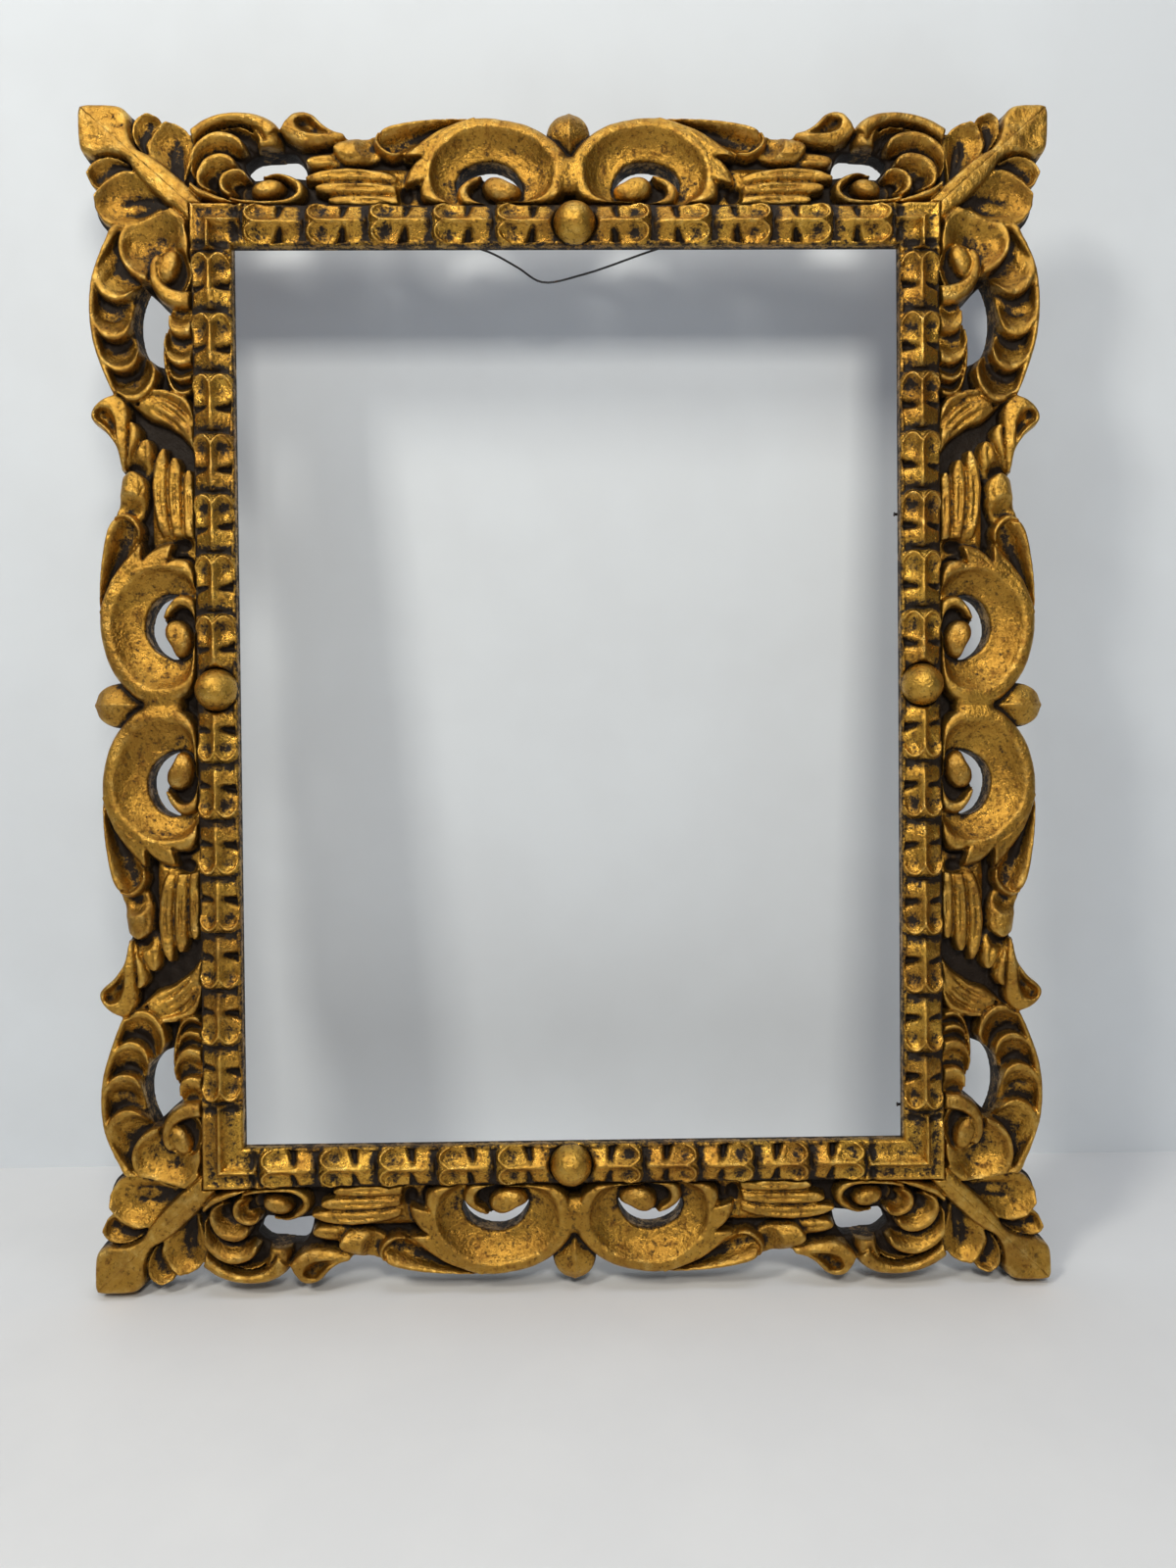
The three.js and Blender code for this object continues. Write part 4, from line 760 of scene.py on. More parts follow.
def draw_coil_scroll(r, side):
    """The short side's corner scroll: three shells inside a band, and a coil with its bead."""
    # the arm's blunt start against the ear
    r.sweep([(127, 55.6), (125.6, 51), (125.8, 46.6)], [(138, 57), (135.8, 51), (135, 45)],
            [(0, 13.4), (0.2, 16.8), (0.5, 18.4), (0.8, 18.0), (1, 15)], tip=(1.6, 0.25))
    r.groove([(128.2, 54), (130.6, 50.6), (133, 48.4)], 0.9, 1.2)
    # outer band
    r.sweep(side["scroll"] + [(171.4, 46), (172.6, 37), (170.4, 29.5), (163, 22.6), (152, 18.6), (144, 18.2)],
            [(132, 50), (136, 55), (142, 57.4), (148, 57.4), (155.4, 55), (161.8, 49.8), (165.8, 43.6),
             (167.2, 37), (165.4, 31), (159.8, 25.8), (150, 21.6), (144, 19.6)],
            [(0, 14), (0.14, 17.6), (0.45, 19.4), (0.75, 19.0), (0.92, 17.4), (1, 14.5)])
    # dark hollow under the band
    r.sweep([(134.4, 50), (138.4, 55), (145, 56.8), (153, 55), (160.4, 49.4), (165, 41.6), (165.6, 34)],
            [(137, 46.4), (141, 50), (146.6, 51.6), (153, 50.4), (158.6, 46.6), (162, 40.6), (162.6, 34)],
            [(0, 16.4), (0.3, 13.2), (0.7, 11.4), (1, 11)])
    # three shells, each smaller and over the one before
    shell = [(0, 12.6), (0.06, 16.8), (0.15, 18.7), (0.28, 18.9), (0.5, 17.2), (0.78, 13.8), (1, 12.4)]
    for outer, inner, deep in (
            ([(139.6, 45.4), (141.4, 50), (146, 53.2), (152.6, 54), (159.6, 51), (164.4, 45.4), (166, 38.6),
              (164.4, 33)],
             [(142.6, 43), (146, 43.6), (150, 43.8), (154.4, 43), (158.4, 40.4), (161, 37), (162, 34),
              (162.2, 31)], 0.0),
            ([(143.4, 37.6), (145.4, 41.6), (150, 43.6), (155.6, 42.8), (160.4, 39), (162.8, 33.4), (161.6, 27.4),
              (156, 23.8)],
             [(147.4, 34.6), (149, 34.4), (151, 33.8), (152.6, 32.8), (153.8, 31.4), (154.4, 29.8), (154.2, 28.2),
              (153, 26.8)], 0.6),
            ([(138.4, 31.4), (140.4, 34.8), (144.8, 35.8), (149.6, 33.8), (152, 29.6), (151.2, 25), (147, 21.6)],
             [(141.6, 29.6), (142.6, 30), (143.8, 29.8), (145, 29), (145.4, 27.8), (145, 26.4), (143.4, 25.2)], 0.6)):
        r.sweep(outer, inner, lambda f, u, deep=deep: eased(shell, u) - deep * np.sin(np.pi * u), tip=(1.6, 0.14),
                start=(1.6, 0.12))
    r.scoop((156.6, 29.6), (4.6, 4.2), 30, 1.8)
    r.groove([(148, 51.4), (154, 50), (158.6, 46.6)], 0.9, 0.5)
    # spiral with its bead
    r.sweep([(121, 30.6), (118, 25.4), (123, 20.6), (133, 19.6), (140, 21.8), (142.6, 25.4), (141, 29)],
            [(130, 27), (129, 25.6), (130, 24.6), (133, 24.4), (136, 25.4), (138, 26.8), (138.6, 28.4)],
            [(0, 12), (0.4, 10.8), (1, 11)])
    r.sweep([(148, 20.4), (142, 18.8), (132, 18.3), (122.4, 18.8), (116.8, 22.8), (116.4, 28.4), (120.6, 32.6),
             (127, 34.4), (133.6, 33.6)],
            [(147, 22.6), (141.4, 21.6), (132, 21), (125, 21.8), (121, 24.8), (121, 27.6), (123.8, 29.8),
             (128, 31), (133, 30.4)],
            [(0, 12.5), (0.16, 15.8), (0.5, 17.2), (0.84, 15.8), (1, 12.5)], swell=[(0, 1.0), (0.8, 1.0), (1, 0.85)])
    r.button((131.4, 27), (7.4, 4.6), -15, 11.2, 6.8, 1.4)


def spoon(low, left, right, round_end=0.3):
    """A hollow lobe: its floor, and the heights of its two rims, which meet round its end."""
    def value(f, u):
        edge = left + (right - left) * step_up(u, 0.2, 0.8) + 0.5 * step_up(f, 0.6, 1)
        hollow = np.sin(np.pi * np.clip(u, 0, 1) ** 0.85) ** 0.8 * (1 - step_up(f, 1 - round_end, 1.02))
        h = edge - (edge - low) * hollow
        for x in (u / 0.1, (1 - u) / 0.1, (1 - f) / 0.07):
            h = h - 2.4 * (1 - np.sqrt(1 - np.clip(1 - x, 0, 0.99) ** 2))
        return h
    return value


def draw_corner(r, side):
    """The corner leaf: a stem on the mitre that opens into a blunt tip, with two hollow lobes beside it."""
    def at(points):
        return [(r.half + a, t) for a, t in points]

    near = 0.0 if side is TALL else 5.0
    lift = 0.0 if side is TALL else 1.5
    # dark ground between the lobes
    r.sweep(at([(14 + near, 46), (15 + near, 55), (25, 59.5), (36, 60.6), (44, 60)]),
            at([(19, 24), (25, 31), (31, 37), (37, 42.6), (43, 50)]), [(0, 12.0), (0.5, 11.4), (1, 12)])
    # first lobe, next to the scroll
    r.sweep(at([(19 + near / 2, 25), (18 + near * 0.7, 33), (14.4 + near, 42), (13.4 + near, 50),
                (16.4 + near, 57 - lift), (23 + near * 0.9, 60.6 - lift)]),
            at([(22.4, 27), (28.6, 34), (35.4, 41.4), (37.6, 46.6), (34.6, 54.6), (27.4 + near * 0.7, 60 - lift)]),
            spoon(12.0, 15.4, 17.9, 0.34))
    r.groove(at([(21 + near / 2, 33), (19.4 + near, 42), (20 + near, 50)]), 1.0, 0.9)
    r.groove(at([(24.6, 35), (25.6 + near / 2, 43), (24.6 + near / 2, 51)]), 0.8, 0.7)
    # second lobe, against the tip
    r.sweep(at([(37, 44), (37.8, 49), (34.6, 55), (31.6, 58.6), (33.6, 62)]),
            at([(40.4, 45.6), (43.6, 51), (44.6, 56.6), (43, 61.4), (38.8, 63.8)]),
            spoon(11.8, 15.6, 16.8, 0.3))
    # stem and tip
    r.sweep(at([(11.6, 16.9), (14.2, 21), (19.6, 27.4), (25.6, 33.4), (31.4, 38.8), (36.6, 42.8), (41.2, 45.4),
                (44, 50), (45.2, 56), (45.6, 61), (49, 66), (56, 66.8), (66.4, 66.6)]),
            at([(16, 12.5), (18.6, 16.6), (23.5, 22.5), (29.5, 28.5), (35.1, 34.1), (39.7, 38.7), (43.3, 42.3),
                (47, 46), (51, 50), (55, 54), (59, 58), (63, 62), (68, 65)]),
            [(0, 15.2), (0.07, 16.9), (0.2, 17.8), (0.6, 18.3), (1, 18.4)])
    r.groove(at([(47.4, 55), (52, 59.6), (58.6, 62.4)]), 2.6, 0.5)


def draw_half(side):
    """The whole drawing of half a rail: its heights, its outline's distance, its wax with painted shade, and its
    crests, worn bright with a painted highlight.
    """
    r = Relief(side["half"])
    draw_palmette(r, side["fingers"])
    draw_wave(r, side)
    if side is TALL:
        draw_shell_scroll(r, side)
    else:
        draw_coil_scroll(r, side)
    draw_ear(r, side)
    draw_corner(r, side)
    draw_centre(r)
    draw_flank(r)
    leaf = side["leaf"]
    runs = [leaf, [leaf[-1], (34.6, 62.4), (39, 63.9), (44.2, 62)],
            [(44.2, 62), (47.6, 65.2), (53, 66.5), (60, 66.5), (64.6, 65.7), (66.6, 64)]]
    runs = [[(side["half"] + a, t) for a, t in run] for run in runs]
    far = side["half"] + DRAWN_W + 4
    edge = dense([SCROLL_EDGE, side["wave"], side["curl"], side["scroll"]] + runs)
    outline = [(-30, 10), (-30, 42), (-0.5, 42)] + edge + [(side["half"] + 66.6, 64), (far, 55), (far, 10)]
    r.edge = r.distance(outline)
    # the tongue stands out across the middle
    tongue = [(-9.8, 51), (-9.8, 54), (-9, 57.6), (-6.4, 62), (-3, 64), (0, 64.4), (3, 64), (6.4, 62),
              (9, 57.6), (9.8, 54), (9.8, 51), (5, 44), (0, 40), (-5, 44)]
    smooth_tongue = spline(tongue + tongue[:1], np.linspace(0, 1, 140))[:-1]
    r.edge = np.minimum(r.edge, r.distance(smooth_tongue.tolist()))
    # past the middle the drawing is its own mirror image
    i0 = int(round(-r.a0 / STEP))
    for i in range(i0):
        r.edge[i] = r.edge[2 * i0 - i]
        r.h[i] = r.h[2 * i0 - i]
    for hole in (CRESCENT, side["hole"]):
        r.edge = np.maximum(r.edge, -r.distance(dense(hole)))
    # rounded arrises along the outer edge and the piercings
    ease = np.clip(1 + r.edge / 1.3, 0, 1)
    r.h = r.h - 1.1 * ease ** 2
    r.h = blur(r.h, 0.22)
    # the small unevenness of hand work
    rng = np.random.default_rng(11 if side is TALL else 12)
    for size, depth in ((1.1, 0.10), (4.0, 0.14)):
        rough = blur(rng.standard_normal(r.shape), size)
        r.h = r.h + rough / rough.std() * depth
    # wax in the hollows with painted shade: darker where the surface lies below its neighbours, and on the low ground
    near = blur(r.h, 1.3)
    wide = blur(np.maximum(r.h, 9), 4.5)
    recess = step_up(near - r.h, 0.15, 1.3) * 0.6 + step_up(wide - r.h, 0.2, 2.9) * 0.8
    recess = recess + 0.75 * step_up(-r.h, -12.6, -10.6)
    r.recess = np.clip(blur(np.clip(recess, 0, 1), 0.35), 0, 1)
    # crests worn bright with a painted highlight, where the surface stands above its neighbours
    r.crest = np.clip(step_up(r.h - near, 0.05, 0.8) * 0.8 + step_up(r.h - wide, 0.6, 3.0) * 0.4, 0, 1)
    return r


# ---------------------------------------------------------------- from the drawing to the rails

DRIFT_AT = {"tall": [0, 30, 82, 127, 155, 191, 211], "wide": [0, 29, 84, 116, 139, 150, 168]}
DRIFT = {
    "top": {"left": [-1.5, 0, -1, -2, 0, 0, -2], "right": [1.5, 0, 3, 1.5, 0.5, 0.5, 2]},
    "bottom": {"left": [0.5, 1, 2.5, 1, 0.5, 0, -1], "right": [-0.5, -1, -1, -0.5, -1, -1, 0]},
    "left": {"top": [-2, -1.5, -3, -3, -4, -3, -4], "bottom": [2, 2.5, 1.5, 2, 3.5, 2, -1]},
    "right": {"top": [-5, -4, -6, -5.5, -4, -0.5, -4], "bottom": [5, 4.5, 5, 5, 3.5, 3, 3]},
}
RAILS = {
    "top": {"wide": True, "sign": 1, "width": BORDER_TOP, "ends": {"left": BORDER_SIDE, "right": BORDER_SIDE}},
    "bottom": {"wide": True, "sign": -1, "width": BORDER_BOTTOM,
               "ends": {"left": BORDER_SIDE, "right": BORDER_SIDE}},
    "left": {"wide": False, "sign": -1, "width": BORDER_SIDE,
             "ends": {"top": BORDER_TOP, "bottom": BORDER_BOTTOM}},
    "right": {"wide": False, "sign": 1, "width": BORDER_SIDE,
              "ends": {"top": BORDER_TOP, "bottom": BORDER_BOTTOM}},
}
FADE = 22.0


def uncross(v, width):
    """The drawing's distance past the moulding for a real one."""
    stretch = (width - MOULDING_W) / (DRAWN_W - MOULDING_W)
    return np.where(v <= MOULDING_W, v, MOULDING_W + (v - MOULDING_W) / stretch)


def drawn_place(s, v, kind, end_width, width, drift):
    """The drawn a and t of the points s, v of a rail's half."""
    half = SIGHT_W / 2 if kind == "wide" else SIGHT_H / 2
    t = uncross(v, width)
    a = s.copy()
    # the drift is known at the drawn place, so the place is found by repeating
    for _ in range(8):
        shift = np.interp(a, DRIFT_AT[kind], drift) * np.clip((t - (a - half)) / FADE, 0, 1)
        plain = s - shift
        a = np.where(plain <= half, plain, half + uncross(plain - half, end_width))
    return a, t


def between_cells(field, x, y):
    """The field at places counted in its cells."""
    x = np.clip(x, 0, field.shape[0] - 1.001)
    y = np.clip(y, 0, field.shape[1] - 1.001)
    i, j = x.astype(int), y.astype(int)
    u, w = x - i, y - j
    return ((field[i, j] * (1 - u) + field[i + 1, j] * u) * (1 - w)
            + (field[i, j + 1] * (1 - u) + field[i + 1, j + 1] * u) * w)


def to_part(s, v, h, rail):
    """Rail coordinates to the part's own, in metres; s counts up to the right or the top."""
    if rail["wide"]:
        at = np.stack([s, -h, MIDDLE_Z + rail["sign"] * (SIGHT_H / 2 + v)], 1)
    else:
        at = np.stack([rail["sign"] * (SIGHT_W / 2 + v), -h, MIDDLE_Z + s], 1)
    return at * MM


FIELD_IN, FIELD_OUT = -2.4, 3.0  # distances to the surface are held between these


def volume_mesh(field, origin, size, merging):
    """The zero surface of a sampled field as points in millimetres and triangles or quads; `merging` lets
    flat places take larger faces."""
    grid = openvdb.FloatGrid(FIELD_OUT)
    grid.copyFromArray(field.astype(np.float32))
    points, tris, quads = grid.convertToPolygons(0.0, merging)
    return points.astype(float) * size + np.array(origin), tris.astype(int), quads.astype(int)


def mesh_object(name, points, tris, quads, attributes, materials, faces=None):
    """A mesh from arrays, wound outwards, with its attributes and its material per face."""
    corners = np.concatenate([tris.ravel(), quads.ravel()])
    starts = np.concatenate([np.arange(len(tris)) * 3, len(tris) * 3 + np.arange(len(quads)) * 4])
    totals = np.concatenate([np.full(len(tris), 3), np.full(len(quads), 4)])
    three = np.concatenate([tris, quads[:, [0, 1, 2]], quads[:, [0, 2, 3]]])
    p = points[three]
    volume = np.einsum("ij,ij->i", p[:, 0], np.cross(p[:, 1], p[:, 2])).sum()
    if volume < 0:
        corners = np.concatenate([tris[:, ::-1].ravel(), quads[:, ::-1].ravel()])
    data = bpy.data.meshes.new(name)
    data.vertices.add(len(points))
    data.vertices.foreach_set("co", points.astype(np.float32).ravel())
    data.loops.add(len(corners))
    data.loops.foreach_set("vertex_index", corners.astype(np.int32))
    data.polygons.add(len(starts))
    data.polygons.foreach_set("loop_start", starts.astype(np.int32))
    data.polygons.foreach_set("loop_total", totals.astype(np.int32))
    for key, values in attributes.items():
        layer = data.attributes.new(key, "FLOAT", "POINT")
        layer.data.foreach_set("value", values.astype(np.float32))
    for material in materials:
        data.materials.append(material)
    if faces is not None:
        data.polygons.foreach_set("material_index", faces.astype(np.int32))
    data.update(calc_edges=True)
    data.validate()
    data.shade_smooth()
    made = bpy.data.objects.new(name, data)
    bpy.context.scene.collection.objects.link(made)
    return made


def used_only(points, tris, quads, attributes):
    """The points that the faces use, and the faces counted on them."""
    used = np.unique(np.concatenate([tris.ravel(), quads.ravel()]))
    new = np.full(len(points), -1)
    new[used] = np.arange(len(used))
    return points[used], new[tris], new[quads], {k: v[used] for k, v in attributes.items()}


def on_frame(piece, node):
    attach(piece, "frame")
    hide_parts(node)


VOXEL, MOULDING_VOXEL = 0.6, 0.5
BORDER_TOP_H, MOULDING_TOP_H = 23.4, 26.4  # just above the highest carving
MITRE_LAP = 0.5  # gesso bridges the corner joints, so the carving runs over them
MITRE_SHARE = 0.7071  # of a step along the rail, square to the mitre


def border_rail(name, drawings, materials):
    """The two halves of a carved border rail, as two meshes that share their middle edge."""
    rail = RAILS[name]
    kind = "wide" if rail["wide"] else "tall"
    half = SIGHT_W / 2 if rail["wide"] else SIGHT_H / 2
    width = rail["width"]
    low_end, high_end = ("left", "right") if rail["wide"] else ("bottom", "top")
    reach = half + max(rail["ends"].values()) + 1.5
    s = np.arange(-reach, reach, VOXEL)
    v = np.arange(INNER - 1.2, width + 1.8, VOXEL)
    h = np.arange(-1.2, BORDER_TOP_H, VOXEL)
    r = drawings[kind]
    split = DRIFT[name][high_end][0]
    sheets = {key: np.zeros((len(s), len(v))) for key in ("h", "edge", "recess", "crest")}
    for end, way in ((low_end, -1), (high_end, 1)):
        rows = np.nonzero(s * way > split * way)[0]
        s2, v2 = np.meshgrid(s[rows] * way, v, indexing="ij")
        a, t = drawn_place(s2, v2, kind, rail["ends"][end], width, DRIFT[name][end])
        for key, field in (("h", r.h), ("edge", r.edge), ("recess", r.recess), ("crest", r.crest)):
            sheets[key][rows] = between_cells(field, (a - r.a0) / STEP, (t - r.t0) / STEP)
        mitre = ((a - half - MITRE_LAP) - t) * MITRE_SHARE
        sheets["edge"][rows] = np.maximum(np.maximum(sheets["edge"][rows], mitre), INNER - v2)
    # under the moulding only the ledge is left
    top = np.where(v[None, :] < MOULDING_W + FIT, np.minimum(sheets["h"], LEDGE_H), sheets["h"])
    gs, gv = np.gradient(top, VOXEL)
    slope = 1 / np.sqrt(1 + gs ** 2 + gv ** 2)
    field = np.maximum((h[None, None, :] - top[:, :, None]) * slope[:, :, None], sheets["edge"][:, :, None])
    field = np.clip(np.maximum(field, -h[None, None, :]), FIELD_IN, FIELD_OUT)
    points, tris, quads = volume_mesh(field, (s[0], v[0], h[0]), VOXEL, 0.02)

    def at(key):
        return between_cells(sheets[key], (points[:, 0] - s[0]) / VOXEL, (points[:, 1] - v[0]) / VOXEL)

    # wax and painted shade thicken down the walls, and the painted highlight fades there
    deep = step_up(at("h") - points[:, 2], 0.8, 4.0)
    recess = np.clip(np.maximum(at("recess"), 0.55 * deep), 0, 1)
    crest = at("crest") * (1 - deep)
    part = to_part(points[:, 0], points[:, 1], points[:, 2], rail)
    for end, way in ((low_end, -1), (high_end, 1)):
        keep3 = (points[tris].mean(1)[:, 0] - split) * way > 0
        keep4 = (points[quads].mean(1)[:, 0] - split) * way > 0
        p, t3, q4, att = used_only(part, tris[keep3], quads[keep4], {"recess": recess, "crest": crest})
        # faces in the back plane are bare wood
        most = np.concatenate([p[t3][:, :, 1].max(1), p[q4][:, :, 1].max(1)])
        least = np.concatenate([p[t3][:, :, 1].min(1), p[q4][:, :, 1].min(1)])
        back = ((most > -0.05 * MM) & (least > -0.25 * MM)).astype(int)
        piece = mesh_object(f"{name}_border_{end}", p, t3, q4, att, materials, back)
        on_frame(piece, f"{name}_border")


# ---------------------------------------------------------------- sight mouldings

HUSK_SHORT = {
    "top": {"left": 3.6, "right": 1.8}, "bottom": {"left": 5.7, "right": 16},
    "left": {"top": 2, "bottom": 19.5}, "right": {"top": 2, "bottom": 11.5},
}
BOSS_AT = {"top": 3.4, "bottom": -1.9, "left": 4.2, "right": 4.2}
HUSK_COUNT = {True: 5, False: 7}
HUSK_TUCK = 1.9
REBATE = {True: 7.0, False: 8.0}
BORE_END = 16.4


def husk_heights(s, v, s0, s1, seed):
    """One husk over the grid: its height, the wax and painted shade in it, and where it lies. A short tail, a gouge
    on each side of the ridge, two cupped lobes whose rims part from the ridge, and a bevelled end."""
    rng = np.random.default_rng(seed)
    j = rng.uniform(-1, 1, 8)
    q = (s - s0) / (s1 - s0)
    ridge_v = 9.0 + 0.3 * j[0]
    low_edge = eased([(-0.5, 1.7), (0.1, 1.6), (0.35, 1.4), (0.6, 0.7), (0.9, 0.4), (1.2, 0.8)], q)
    high_edge = eased([(-0.5, 16.6), (0.1, 16.7), (0.35, 16.9), (0.6, 17.4), (0.9, 17.7), (1.2, 17.4)], q)
    lower = v < ridge_v
    y = np.where(lower, (ridge_v - v) / (ridge_v - low_edge), (v - ridge_v) / (high_edge - ridge_v))
    flat = np.clip(y, 0, 1)
    ridge = eased([(-0.3, 18.4), (0.02, 19.4), (0.1, 21.6), (0.25, 22.9), (0.5, 23.3), (0.75, 23.9), (0.9, RIDGE_H),
                   (1.1, RIDGE_H)], q)
    side = eased([(-0.3, 17.4), (0.05, 17.6), (0.3, 18.3), (0.5, 18.3), (0.75, 19.0), (0.95, 20.2), (1.1, 20.0)], q)
    share = step_up(q, 0.36, 0.6)
    shape = flat ** 0.75 * (1 - share) + (flat ** 0.52 + 0.16 * np.sin(np.pi * flat)) * share
    h = ridge - (ridge - side) * shape
    # rims of the two lobes, and the end beyond them
    edge = np.where(lower, low_edge, high_edge)
    across = np.clip(np.abs((2 * v - ridge_v - edge) / (ridge_v - edge)), 0, 1)
    rim_at = s1 - 1.9 - 4.3 * across ** 2.3 - 0.4 * np.abs(j[1])
    end = s1 - 2.0 * np.abs((v - 9.0) / 9.0) ** 2.4
    back = np.clip(rim_at - s, 0, 9)
    h = h + (1.5 * np.exp(-((back - 0.4) / 0.65) ** 2)) * flat ** 0.4
    h = h - (1.1 + 0.3 * j[7]) * np.exp(-((q - 0.72) / 0.13) ** 2) * np.sin(np.pi * flat)
    past = np.clip((s - rim_at) / (end - rim_at), 0, 1)
    below = h - 1.9 * step_up(s - rim_at, 0.0, 0.9)
    h = np.where(s > rim_at, below + (18.0 - below) * past ** 1.6, h)
    # the gouges beside the ridge
    # wax and painted shade: where the husk tucks under the one before, in the gouges, in the cupped lobes and down
    # the bevelled end
    dirt_and_shade = 0.9 * np.exp(-(np.clip(q - 0.06, 0, 2) / 0.09) ** 2)
    for under, deep, wide, slant in ((True, 3.4 + 0.6 * j[2], 1.7, 1.6), (False, 2.5 + 0.5 * j[3], 1.4, -1.2)):
        middle = s0 + (0.42 + 0.025 * j[4 + under]) * (s1 - s0) + slant * (flat - 0.5)
        spread = wide * (0.45 + 0.8 * flat)
        cut = step_up(flat, 0.06, 0.5) * np.exp(-np.abs((s - middle) / spread) ** 2.4)
        here = lower == under
        h = h - np.where(here, deep * cut, 0)
        dirt_and_shade = np.maximum(dirt_and_shade, np.where(here, 0.95 * cut, 0))
    cupped = np.exp(-((q - 0.72) / 0.12) ** 2) * np.sin(np.pi * flat) * (s < rim_at)
    dirt_and_shade = np.maximum(dirt_and_shade, (0.5 + 0.25 * j[6]) * cupped)
    dirt_and_shade = np.maximum(dirt_and_shade, 0.85 * step_up(past, 0.4, 0.95))
    return h, dirt_and_shade, (s > s0) & (s < end) & (y < 1)


def soften(field, times):
    """Blends each cell of a sheet with its neighbours, so many times over."""
    for _ in range(times):
        p = np.pad(field, 1, mode="edge")
        field = (p[:-2, 1:-1] + p[2:, 1:-1] + p[1:-1, :-2] + p[1:-1, 2:] + 2 * field) / 6
    return field


